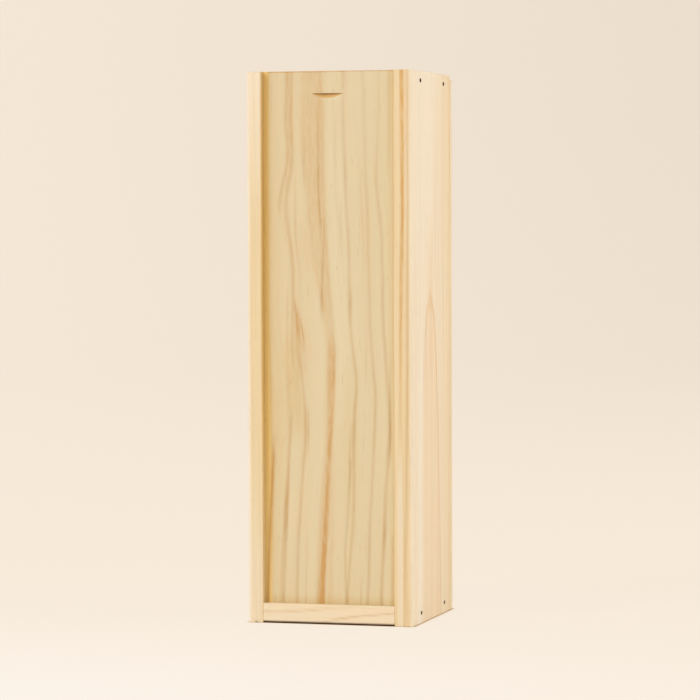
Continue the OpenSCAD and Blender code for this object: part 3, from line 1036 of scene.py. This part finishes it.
def cut_foot(board, points):
    """The lid's lower end: its corners are drawn in, and its back is bevelled."""
    height = points[:, 2] - board.w[0]
    middle, half = sum(board.u) / 2, (board.u[1] - board.u[0]) / 2
    points[:, 0] = middle + (points[:, 0] - middle) * (1 - np.clip(LID_CORNER - height, 0, None) / half)
    bevel = np.clip(LID_BEVEL - height / 2, 0, None) / (board.v[1] - board.v[0])
    points[:, 1] = board.v[0] + (points[:, 1] - board.v[0]) * (1 - bevel)
    return points


def make_object(name, board, points, faces, material):
    """A mesh object at the origin, in metres, with the grain of its board as attributes."""
    place = np.empty_like(points)
    place[:, list(board.axes)] = points * MM
    mesh = bpy.data.meshes.new(name)
    mesh.from_pydata(place, [], [face for part in faces for face in part.tolist()])
    for key, values in grain(board, points).items():
        kind = "FLOAT_VECTOR" if values.ndim == 2 else "FLOAT"
        layer = mesh.attributes.new(key, kind, "POINT")
        layer.data.foreach_set("vector" if values.ndim == 2 else "value", values.astype(np.float32).ravel())
    work = bmesh.new()
    work.from_mesh(mesh)
    bmesh.ops.recalc_face_normals(work, faces=work.faces)
    work.to_mesh(mesh)
    work.free()
    mesh.shade_smooth()
    mesh.set_sharp_from_angle(angle=math.radians(32))
    mesh.materials.append(material)
    piece = bpy.data.objects.new(name, mesh)
    bpy.context.scene.collection.objects.link(piece)
    return piece


def stand_for(piece, node, body):
    """Puts a piece in the place of the CAD node that it shows."""
    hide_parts(node)
    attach(piece, body)


def add(tree, kind, inputs=(), **settings):
    """Adds a node, with its settings, and its inputs as values or as links from other nodes.

    A link is given as a socket, or as a node that stands for its first output in use.
    """
    made = tree.nodes.new(kind)
    for name, value in settings.items():
        setattr(made, name, value)
    for name, value in dict(inputs).items():
        if isinstance(value, bpy.types.Node):
            value = next(output for output in value.outputs if output.enabled)
        if isinstance(value, bpy.types.NodeSocket):
            tree.links.new(value, made.inputs[name])
        else:
            made.inputs[name].default_value = value
    return made


def colour4(colour):
    """A colour with its alpha."""
    return (*colour[:3], 1)


def colour_stops(ramp, stops):
    """Gives a colour ramp its stops, as pairs of (place from 0 to 1, linear colour) in their order."""
    elements = ramp.color_ramp.elements
    elements[0].position, elements[1].position = stops[0][0], stops[-1][0]
    for place, _ in stops[1:-1]:
        elements.new(place)
    for element, (_, colour) in zip(elements, stops):
        element.color = colour4(colour)


def blank_material(name):
    """A material whose nodes are still to be added, and its tree."""
    material = bpy.data.materials.new(name)
    material.use_nodes = True
    material.node_tree.nodes.clear()
    return material, material.node_tree


class Pine(NamedTuple):
    """How one board's pine looks.

    It has three colours, from the palest wood to a full streak. A ring is ring_step wide and a fibre
    is fibre wide, in mm. The tones say how strongly the rings, fibres and bands show.
    """

    pale: tuple
    plain: tuple
    streak: tuple
    shift: float
    ring_step: float
    ring_tone: float
    fibre: float = 0.55
    fibre_tone: float = 0.5
    band_tone: float = 0.5


def along_grain(tree, look, across, along, **noise):
    """A pattern that follows the grain, with spots so many mm across it and along it."""
    figure = add(tree, "ShaderNodeAttribute", attribute_name="figure").outputs["Vector"]
    scale = (1 / (across * MM), 1 / (across * MM), 1 / (along * MM))
    place = {"Vector": figure, "Location": (look.shift,) * 3, "Scale": scale}
    mapped = add(tree, "ShaderNodeMapping", place)
    return add(tree, "ShaderNodeTexNoise", {"Vector": mapped, "Scale": 1.0, **noise})


def latewood(tree, look):
    """How dark the rings are: slowly darker through each ring, with a sharp end.

    The place p within a ring goes from 0 to 1, and strays by a cloudy pattern. The tone is p to the
    fourth power, times the smaller of 1 and 12 (1 - p), with the step between them eased.
    """
    radius = add(tree, "ShaderNodeAttribute", attribute_name="rings").outputs["Fac"]
    clouds = along_grain(tree, look, 22, 90, Detail=1.0, Roughness=0.5)
    rings = add(tree, "ShaderNodeMath", {0: radius, 1: 1 / (look.ring_step * MM)}, operation="MULTIPLY")
    strayed = add(tree, "ShaderNodeMath", {0: clouds, 1: 1.5, 2: rings}, operation="MULTIPLY_ADD")
    place = add(tree, "ShaderNodeMath", {0: strayed}, operation="FRACT")
    darker = add(tree, "ShaderNodeMath", {0: place, 1: 4.0}, operation="POWER")
    left = add(tree, "ShaderNodeMath", {0: 1.0, 1: place}, operation="SUBTRACT")
    left = add(tree, "ShaderNodeMath", {0: left, 1: 12.0}, operation="MULTIPLY")
    ending = add(tree, "ShaderNodeMath", {0: left, 1: 1.0, 2: 0.3}, operation="SMOOTH_MIN")
    return add(tree, "ShaderNodeMath", {0: darker, 1: ending}, operation="MULTIPLY")


def pine_tone(tree, look, fibres, threads):
    """The tone of a point, from -1 for the palest wood to 1 for a full streak.

    It is the drawn grain, which breaks up along its threads, plus the rings, plus fibres and plus
    bands about 5 mm wide. End grain drinks in more dirt and light, so its rings show darker.
    """
    streaks = add(tree, "ShaderNodeAttribute", attribute_name="tone").outputs["Fac"]
    ends = add(tree, "ShaderNodeAttribute", attribute_name="ends").outputs["Fac"]
    bands = along_grain(tree, look, 5.0, 260, Detail=2.5, Roughness=0.55)
    rings = latewood(tree, look)
    tone = add(tree, "ShaderNodeMath", {0: rings, 1: look.ring_tone, 2: streaks}, operation="MULTIPLY_ADD")
    for pattern, strength in ((fibres, look.fibre_tone), (bands, look.band_tone)):
        swing = add(tree, "ShaderNodeMath", {0: pattern, 1: 0.5}, operation="SUBTRACT")
        tone = add(tree, "ShaderNodeMath", {0: swing, 1: strength, 2: tone}, operation="MULTIPLY_ADD")
    gaps = {"Value": threads, "From Min": 0.3, "From Max": 0.7, "To Min": -0.35, "To Max": 0.35}
    broken = add(tree, "ShaderNodeMapRange", gaps)
    tone = add(tree, "ShaderNodeMath", {0: streaks, 1: broken, 2: tone}, operation="MULTIPLY_ADD")
    at_end = add(tree, "ShaderNodeMath", {0: rings, 1: 0.5, 2: 0.18}, operation="MULTIPLY_ADD")
    return add(tree, "ShaderNodeMath", {0: ends, 1: at_end, 2: tone}, operation="MULTIPLY_ADD")


def pine_colour(tree, look, wood, tone, fibres):
    """The colour of a point: its tone's, through three filters, then a painted glow, canals, painted deep
    shade and fibres.
    """
    level = add(tree, "ShaderNodeMath", {0: tone, 1: 0.5, 2: 0.5}, operation="MULTIPLY_ADD")
    ramp = add(tree, "ShaderNodeValToRGB", {"Fac": level})
    colour_stops(ramp, ((0, look.pale), (0.5, look.plain), (1, look.streak)))
    tint = add(tree, "ShaderNodeAttribute", attribute_name="tint").outputs["Vector"]
    shares = add(tree, "ShaderNodeSeparateXYZ", {"Vector": tint}).outputs
    colour = ramp
    for share, tinted in zip(shares, (wood.heart, wood.yellow, wood.shade)):
        inputs = {SHARE: share, FIRST: colour, SECOND: colour4(tinted)}
        colour = add(tree, "ShaderNodeMix", inputs, data_type="RGBA", blend_type="MULTIPLY")

    # Resin canals: only the peaks of short threads, so that few show
    canals = along_grain(tree, look, 0.5, 10, Detail=1.0, Roughness=0.4)
    peaks = {"Value": canals, "From Min": 0.71, "From Max": 0.79, "To Min": 0.0, "To Max": 0.3}
    canals = add(tree, "ShaderNodeMapRange", peaks, interpolation_type="SMOOTHSTEP")
    # A painted glow of bounced light and painted deep shade go over the colour, with the canals between
    bounce_glow = add(tree, "ShaderNodeAttribute", attribute_name="bounce_glow").outputs["Fac"]
    deep_shade = add(tree, "ShaderNodeAttribute", attribute_name="deep_shade").outputs["Fac"]
    for share, covering in ((bounce_glow, wood.bounce_glow), (canals, wood.canal), (deep_shade, wood.deep_shade)):
        inputs = {SHARE: share, FIRST: colour, SECOND: colour4(covering)}
        colour = add(tree, "ShaderNodeMix", inputs, data_type="RGBA")

    swing = {"Value": fibres, "From Min": 0.3, "From Max": 0.7, "To Min": 0.96, "To Max": 1.04}
    light = add(tree, "ShaderNodeMapRange", swing)
    inputs = {SHARE: 1.0, FIRST: colour, SECOND: light}
    return add(tree, "ShaderNodeMix", inputs, data_type="RGBA", blend_type="MULTIPLY")


def planed_pine(name, look, wood):
    """Planed, unfinished pine: a dry, silky surface with soft bands, fine fibres and darker latewood.

    What it gives the eye is a straw ground that turns from cream to orange along the grain, short
    brown dashes where resin canals were cut open, and an almost matt sheen. The fibres are about
    half a millimetre wide or more, which is coarser than real ones, so that they show.
    """
    material, tree = blank_material(name)
    fibres = along_grain(tree, look, look.fibre, 48 * look.fibre, Detail=3.0, Roughness=0.6)
    threads = along_grain(tree, look, 1.0, 9, Detail=2.0, Roughness=0.5)
    tone = pine_tone(tree, look, fibres, threads)
    height = add(tree, "ShaderNodeMath", {0: threads, 1: 0.4, 2: fibres}, operation="MULTIPLY_ADD")
    surface = {
        "Base Color": pine_colour(tree, look, wood, tone, fibres),
        "Roughness": add(tree, "ShaderNodeMath", {0: fibres, 1: 0.2, 2: 0.5}, operation="MULTIPLY_ADD"),
        "Normal": add(tree, "ShaderNodeBump", {"Height": height, "Strength": 0.25, "Distance": 0.05 * MM}),
        "Specular IOR Level": 0.3,
    }
    shader = add(tree, "ShaderNodeBsdfPrincipled", surface)
    add(tree, "ShaderNodeOutputMaterial", {"Surface": shader})
    return material


def dull_wire(name):
    """Galvanised steel wire, cut and driven: dull grey-brown metal with darker scuffs of oxide.

    The scuffs are about 0.4 mm across.
    """
    material, tree = blank_material(name)
    place = add(tree, "ShaderNodeTexCoord").outputs["Object"]
    scuffs = add(tree, "ShaderNodeTexNoise", {"Vector": place, "Scale": 1 / (0.4 * MM), "Detail": 3.0})
    ramp = add(tree, "ShaderNodeValToRGB", {"Fac": scuffs})
    colour_stops(ramp, ((0.35, linear("2C2218")), (0.65, linear("50463A"))))
    surface = {
        "Base Color": ramp,
        "Roughness": add(tree, "ShaderNodeMapRange", {"Value": scuffs, "To Min": 0.4, "To Max": 0.7}),
        "Normal": add(tree, "ShaderNodeBump", {"Height": scuffs, "Strength": 0.3, "Distance": 0.03 * MM}),
        "Metallic": 0.5,
    }
    shader = add(tree, "ShaderNodeBsdfPrincipled", surface)
    add(tree, "ShaderNodeOutputMaterial", {"Surface": shader})
    return material


def side_slots(side):
    """The slots in a side board's outside, as (y, z): two brads into each end board."""
    front, back = CAD_BOX[0][1] / MM + BRAD_FRONT, CAD_BOX[1][1] / MM - BRAD_BACK
    heights = [(lo[2] + hi[2]) / 2 for lo, hi in (box_mm("bottom_end"), box_mm("top_end"))]
    return tuple(Slot((y, z), (SLOT_LONG, SLOT_SHORT), side) for y in (front, back) for z in heights)


def back_slots():
    """The slots in the back panel, as (x, z): a row up each side board and two on each end board."""
    lo, hi = box_mm("back_panel")
    step = (hi[2] - lo[2] - 2 * BACK_INSET) / (BACK_COUNT - 1)
    places = []
    for node in ("left_side", "right_side"):
        a, b = box_mm(node)
        places += [((a[0] + b[0]) / 2, BACK_INSET + i * step) for i in range(BACK_COUNT)]
    for node in ("bottom_end", "top_end"):
        a, b = box_mm(node)
        places += [(x, (a[2] + b[2]) / 2) for x in (-END_SPREAD / 2, END_SPREAD / 2)]
    return tuple(Slot(place, (SLOT_SHORT, SLOT_LONG), "high") for place in places)


def board_of(node, axes, **figure):
    """A board as large as its CAD node, whose u, v and w run along the axes given."""
    lo, hi = box_mm(node)
    return Board(node, *((lo[axis], hi[axis]) for axis in axes), axes, **figure)


def upright(node, **figure):
    """A board that stands on end, with u along Y and v along X."""
    return board_of(node, (1, 0, 2), **figure)


def crosswise(node, **figure):
    """An end board, with u along Y, v along Z and its grain along X."""
    return board_of(node, (1, 2, 0), **figure)


def frontal(node, **figure):
    """A board that faces the front, with u along X and v along Y."""
    return board_of(node, (0, 1, 2), **figure)


def lid_groove():
    """From where to where the lid's grooves run, along Y."""
    lo, hi = box_mm("lid")
    return lo[1] - SLIDE_GAP, hi[1] + SLIDE_GAP


def make_board(board, points, faces, look, wood, slot, body="box"):
    """Makes a board's object, in pine of its own, and puts it in the place of its CAD node."""
    material = planed_pine("planed_pine_" + board.node, look, wood)
    piece = make_object(board.node + "_board", board, dented(board, points), faces, material)
    stand_for(piece, board.node, body)


class WINEBOX_OT_side_boards(bpy.types.Operator):
    """Make the two upright side boards, grooved for the lid and slotted by their brads"""

    bl_idname = "wine_box.side_boards"
    bl_label = "Side Boards"

    def execute(self, context):
        lid_low, lid_high = box_mm("lid")
        left = upright(
            "left_side", face="low", pith=(6, 30, 5, 1.5), slots=side_slots("low"), dents=LEFT_DENTS,
            edge_lines=LEFT_EDGE_LINES, edge_bands=LEFT_EDGE_BANDS, seed=11,
        )
        right = upright(
            "right_side", face="high", pith=(-5, 14, 0, 0), slots=side_slots("high"), dents=RIGHT_DENTS,
            lines=RIGHT_LINES, bands=RIGHT_BANDS, edge_lines=RIGHT_EDGE_LINES,
            edge_bands=RIGHT_EDGE_BANDS, seed=21,
        )
        left_groove = (*lid_groove(), lid_low[0] - EDGE_GAP)
        right_groove = (*lid_groove(), lid_high[0] + EDGE_GAP)
        left_section = section(left, BOARD_EASE, LIP_EASE, FINE, left_groove)
        right_section = section(right, LIP_EASE, BOARD_EASE, FINE, right_groove)
        self.make(context, left, left_section, ring_step=4.2, ring_tone=0.12)
        self.make(context, right, right_section, ring_step=2.6, ring_tone=0.3)
        return {"FINISHED"}

    def make(self, context, board, sides, **rings):
        """Makes one side board."""
        wood, wear = context.scene.wine_box_pine, context.scene.wine_box_boards
        look = Pine(
            wood.side_pale[:], wood.side[:], wood.side_streak[:], shift=board.seed * BOARD_SHIFT,
            fibre=1.4, band_tone=0.7, **rings,
        )
        skin = Skin(board, sides, wear)
        for slot in board.slots:
            skin.slot(slot)
        make_board(board, *skin.finished(), look, wood, "side_pine")


class WINEBOX_OT_end_boards(bpy.types.Operator):
    """Make the bottom end board, with the groove that stops the lid, and the top end board"""

    bl_idname = "wine_box.end_boards"
    bl_label = "End Boards"

    def execute(self, context):
        wood, wear = context.scene.wine_box_pine, context.scene.wine_box_boards
        groove = (*lid_groove(), box_mm("lid")[0][2] - STOP_GAP)
        bottom = crosswise(
            "bottom_end", face="high", pith=(20, -40, 8, 10), edge_lines=BOTTOM_EDGE_LINES,
            edge_bands=BOTTOM_EDGE_BANDS, seed=31,
        )
        top = crosswise("top_end", face="high", pith=(-10, 300, 10, 16), seed=41)
        for board, cut in ((bottom, groove), (top, None)):
            look = Pine(
                wood.side_pale[:], wood.end[:], wood.side_streak[:], shift=board.seed * BOARD_SHIFT,
                ring_step=3.4, ring_tone=0.22,
            )
            skin = Skin(board, section(board, LIP_EASE, LIP_EASE, FINE, cut), wear, sawn=False)
            make_board(board, *skin.finished(), look, wood, "end_pine")
        return {"FINISHED"}


class WINEBOX_OT_back_panel(bpy.types.Operator):
    """Make the back panel, slotted by the brads that hold it on"""

    bl_idname = "wine_box.back_panel"
    bl_label = "Back Panel"

    def execute(self, context):
        wood, wear = context.scene.wine_box_pine, context.scene.wine_box_boards
        board = frontal("back_panel", face="high", slots=back_slots(), pith=(8, 12, 22, 26), seed=51)
        look = Pine(
            wood.side_pale[:], wood.panel[:], wood.side_streak[:], shift=190.0, ring_step=4.6, ring_tone=0.4
        )
        skin = Skin(board, section(board, JOINT_EASE, PANEL_EASE, FINE), wear)
        for slot in board.slots:
            skin.slot(slot)
        make_board(board, *skin.finished(), look, wood, "panel_pine")
        return {"FINISHED"}


class WINEBOX_OT_lid(bpy.types.Operator):
    """Make the sliding lid, with its finger notch and the cut corners of its lower end"""

    bl_idname = "wine_box.lid"
    bl_label = "Lid"

    def execute(self, context):
        wood, wear = context.scene.wine_box_pine, context.scene.wine_box_boards
        lo, hi = box_mm("lid")
        board = frontal(
            "lid", notch=((lo[0] + hi[0]) / 2 + NOTCH_ASIDE, hi[2] - NOTCH_DOWN), face="low",
            pith=(-140, 60, 0, 0), lines=LID_LINES, bands=LID_BANDS, guides=LID_LINES[:5], seed=61,
        )
        look = Pine(
            wood.lid_pale[:], wood.lid[:], wood.lid_streak[:], shift=7.0, ring_step=2.2, ring_tone=0.0,
            fibre=0.8, fibre_tone=0.7, band_tone=0.35,
        )
        skin = Skin(board, section(board, LID_EASE, LID_EASE, LID_FINE), wear)
        skin.notch(*board.notch)
        points, faces = skin.finished()
        make_board(board, cut_foot(board, points), faces, look, wood, "lid_pine", body="lid")
        return {"FINISHED"}


class WINEBOX_OT_brads(bpy.types.Operator):
    """Give the driven brads their dull steel"""

    bl_idname = "wine_box.brads"
    bl_label = "Brads"

    def execute(self, context):
        wire = dull_wire("dull_galvanised_wire")
        for node in ("side_brads", "back_brads"):
            brads = frame["nodes"][node]
            brads.data.materials.clear()
            brads.data.materials.append(wire)
        return {"FINISHED"}


def paper_stops(pale, dim):
    """The paper's tone from front to back: pale, which fades as a square, then plain, then dim."""
    front, plain, back = PAPER_PLACES
    tones = [(front + (plain - front) * t, PAPER_PALE, pale * (1 - t) ** 2) for t in PAPER_STEPS]
    tones.append((back, PAPER_DIM, dim))
    start = np.array(linear(PAPER_PLAIN))
    return [
        ((place - PAPER_START) / PAPER_LENGTH, tuple(start + share * (np.array(linear(colour)) - start)))
        for place, colour, share in tones
    ]


def paper_colour(tree):
    """The paper's colour, mixed from its left and its right ramp by the place across the view.

    The place is the distance aside of the box over the view's breadth at that distance behind it.
    """
    place = add(tree, "ShaderNodeTexCoord").outputs["Object"]
    turn = {"Vector": place, "Angle": -CAMERA_TURN}
    turned = add(tree, "ShaderNodeVectorRotate", turn, rotation_type="Z_AXIS")
    parts = add(tree, "ShaderNodeSeparateXYZ", {"Vector": turned}).outputs
    length = {"Value": parts["Y"], "From Min": PAPER_START, "From Max": PAPER_START + PAPER_LENGTH}
    behind = add(tree, "ShaderNodeMapRange", length)
    ramps = []
    for pale, dim in (PAPER_LEFT, PAPER_RIGHT):
        ramp = add(tree, "ShaderNodeValToRGB", {"Fac": behind})
        colour_stops(ramp, paper_stops(pale, dim))
        ramps.append(ramp)
    grown = {0: parts["Y"], 1: VIEW_GROWTH, 2: VIEW_BREADTH}
    breadth = add(tree, "ShaderNodeMath", grown, operation="MULTIPLY_ADD")
    aside = add(tree, "ShaderNodeMath", {0: parts["X"], 1: breadth}, operation="DIVIDE")
    across = add(tree, "ShaderNodeMapRange", {"Value": aside, "From Min": -0.5, "From Max": 0.5})
    return add(tree, "ShaderNodeMix", {SHARE: across, FIRST: ramps[0], SECOND: ramps[1]}, data_type="RGBA")


def stage_paper(name):
    """Seamless matt paper: the lens sees its plain colour, with painted contact shadow right beside what
    stands on it.

    Other light falls on a plain matt surface, which keeps the object's shadow.
    """
    material, tree = blank_material(name)
    paper = paper_colour(tree)
    # A painted contact shadow: ambient occlusion darkens the paper's own colour round what stands on it
    contact = add(tree, "ShaderNodeAmbientOcclusion", {"Distance": CONTACT_REACH}, samples=8)
    shadow = add(tree, "ShaderNodeValToRGB", {"Fac": contact.outputs["AO"]})
    stops = ((0, "301C04"), (0.4, "8A683C"), (0.8, "EEDCC4"), (1, "FFFFFF"))
    colour_stops(shadow, [(place, linear(colour)) for place, colour in stops])
    inputs = {SHARE: 1.0, FIRST: shadow, SECOND: paper}
    shaded = add(tree, "ShaderNodeMix", inputs, data_type="RGBA", blend_type="MULTIPLY")
    plain = add(tree, "ShaderNodeEmission", {"Color": shaded, "Strength": PAPER_BRIGHT})
    surface = {"Base Color": paper, "Roughness": 0.45, "Specular IOR Level": 0.3}
    matt = add(tree, "ShaderNodeBsdfPrincipled", surface)
    rays = add(tree, "ShaderNodeLightPath").outputs
    seen = rays["Is Camera Ray"]
    for mirrored in ("Is Glossy Ray", "Is Transmission Ray"):
        seen = add(tree, "ShaderNodeMath", {0: seen, 1: rays[mirrored]}, operation="MAXIMUM")
    share = add(tree, "ShaderNodeMath", {0: seen, 1: PAPER_SHARE}, operation="MULTIPLY")
    mixed = add(tree, "ShaderNodeMixShader", {0: share, 1: matt, 2: plain})
    add(tree, "ShaderNodeOutputMaterial", {"Surface": mixed})
    return material


def area_lamp(name, place, aim, size, power):
    """A rectangular soft lamp at a place, turned to face a point."""
    data = bpy.data.lights.new(name, "AREA")
    data.shape = "RECTANGLE"
    data.size, data.size_y = size
    data.energy = power
    lamp = bpy.data.objects.new(name, data)
    lamp.location = place
    lamp.rotation_euler = (Vector(aim) - Vector(place)).to_track_quat("-Z", "Y").to_euler()
    bpy.context.scene.collection.objects.link(lamp)


class WINEBOX_OT_stage(bpy.types.Operator):
    """Make the seamless paper, the lamps and the camera"""

    bl_idname = "wine_box.stage"
    bl_label = "Stage"

    def execute(self, context):
        settings = context.scene.wine_box_stage
        self.paper()
        low, high = CAD_BOX
        aim = (low + high) / 2
        area_lamp("key", KEY_PLACE, aim, KEY_SIZE, settings.key)
        area_lamp("fill", FILL_PLACE, aim, FILL_SIZE, settings.fill)
        world = bpy.data.worlds.new("studio_air")
        world.use_nodes = True
        air = world.node_tree.nodes["Background"]
        air.inputs["Color"].default_value = colour4(linear("FFFFFF"))
        air.inputs["Strength"].default_value = settings.air
        context.scene.world = world
        context.scene.view_settings.view_transform = "Standard"
        self.camera(Vector((CAMERA_AIM[0] * MM, low[1], CAMERA_AIM[1] * MM)))
        return {"FINISHED"}

    def paper(self):
        """A bowl of paper: a flat floor that sweeps up through a quarter circle into an upright wall.

        Its profile is carried round the box: a point is its profile's distance out and height, turned
        about Z. The innermost ring is drawn together into one point.
        """
        flat = np.stack([np.linspace(0.05, PAPER_FLOOR, 12), np.zeros(12)], 1)
        bend = arc((PAPER_FLOOR, PAPER_BEND), PAPER_BEND, -90, 0, 24)
        profile = np.concatenate([flat, bend[1:], [[PAPER_FLOOR + PAPER_BEND, PAPER_BEND + PAPER_WALL]]])
        a = np.linspace(0, 2 * np.pi, PAPER_TURNS, endpoint=False)
        out, up = profile[:, :1], np.broadcast_to(profile[:, 1:], (len(profile), PAPER_TURNS))
        grid = np.stack([out * np.cos(a), out * np.sin(a), up], -1)
        points = np.concatenate([grid.reshape(-1, 3), [[0, 0, 0]]])
        ids = np.arange(up.size).reshape(up.shape)
        after = np.roll(ids, -1, 1)
        quads = np.stack([ids[:-1], after[:-1], after[1:], ids[1:]], -1).reshape(-1, 4)
        hub = np.stack([ids[0], np.full(PAPER_TURNS, len(points) - 1), after[0]], -1)
        mesh = bpy.data.meshes.new("paper")
        mesh.from_pydata(points, [], quads.tolist() + hub.tolist())
        mesh.shade_smooth()
        mesh.materials.append(stage_paper("seamless_paper"))
        piece = bpy.data.objects.new("paper", mesh)
        bpy.context.scene.collection.objects.link(piece)

    def camera(self, aim):
        """A long lens, a little above the point that it aims at and turned to the box's right side."""
        turn, down, lean = CAMERA_TURN, CAMERA_DOWN, CAMERA_LEAN
        back = Vector((math.sin(turn) * math.cos(down), -math.cos(turn) * math.cos(down), math.sin(down)))
        right = Vector((math.cos(turn), math.sin(turn), 0))
        up = back.cross(right)
        axes = Matrix((
            right * math.cos(lean) + up * math.sin(lean),
            up * math.cos(lean) - right * math.sin(lean),
            back,
        )).transposed()
        data = bpy.data.cameras.new("camera")
        data.lens, data.sensor_width = CAMERA_LENS, CAMERA_FILM
        data.clip_end = 50
        camera = bpy.data.objects.new("camera", data)
        camera.matrix_world = Matrix.Translation(aim + back * CAMERA_DISTANCE) @ axes.to_4x4()
        bpy.context.scene.collection.objects.link(camera)
        bpy.context.scene.camera = camera


OPERATORS = (
    WINEBOX_OT_side_boards, WINEBOX_OT_end_boards, WINEBOX_OT_back_panel, WINEBOX_OT_lid, WINEBOX_OT_brads,
    WINEBOX_OT_stage,
)


class WINEBOX_PT_panel(bpy.types.Panel):
    """Lists the pieces of the box and its settings"""

    bl_idname = "WINEBOX_PT_panel"
    bl_label = "Wine Box"
    bl_space_type = "VIEW_3D"
    bl_region_type = "UI"
    bl_category = "Wine Box"

    def draw(self, context):
        for operator in OPERATORS:
            self.layout.operator(operator.bl_idname)
        for name in ("wine_box_boards", "wine_box_pine", "wine_box_stage"):
            settings = getattr(context.scene, name)
            for key in settings.bl_rna.properties.keys():
                if key not in ("rna_type", "name"):
                    self.layout.prop(settings, key)


CLASSES = (BoardSettings, PineSettings, StageSettings, *OPERATORS, WINEBOX_PT_panel)


def register():
    """Makes the classes and their settings known."""
    for cls in CLASSES:
        bpy.utils.register_class(cls)
    bpy.types.Scene.wine_box_boards = PointerProperty(type=BoardSettings)
    bpy.types.Scene.wine_box_pine = PointerProperty(type=PineSettings)
    bpy.types.Scene.wine_box_stage = PointerProperty(type=StageSettings)


def unregister():
    """Takes them away again."""
    del bpy.types.Scene.wine_box_boards
    del bpy.types.Scene.wine_box_pine
    del bpy.types.Scene.wine_box_stage
    for cls in reversed(CLASSES):
        bpy.utils.unregister_class(cls)


def main():
    """Makes the box and its stage."""
    register()
    bpy.ops.wine_box.side_boards()
    bpy.ops.wine_box.end_boards()
    bpy.ops.wine_box.back_panel()
    bpy.ops.wine_box.lid()
    bpy.ops.wine_box.brads()
    bpy.ops.wine_box.stage()


if __name__ == "__main__":
    main()
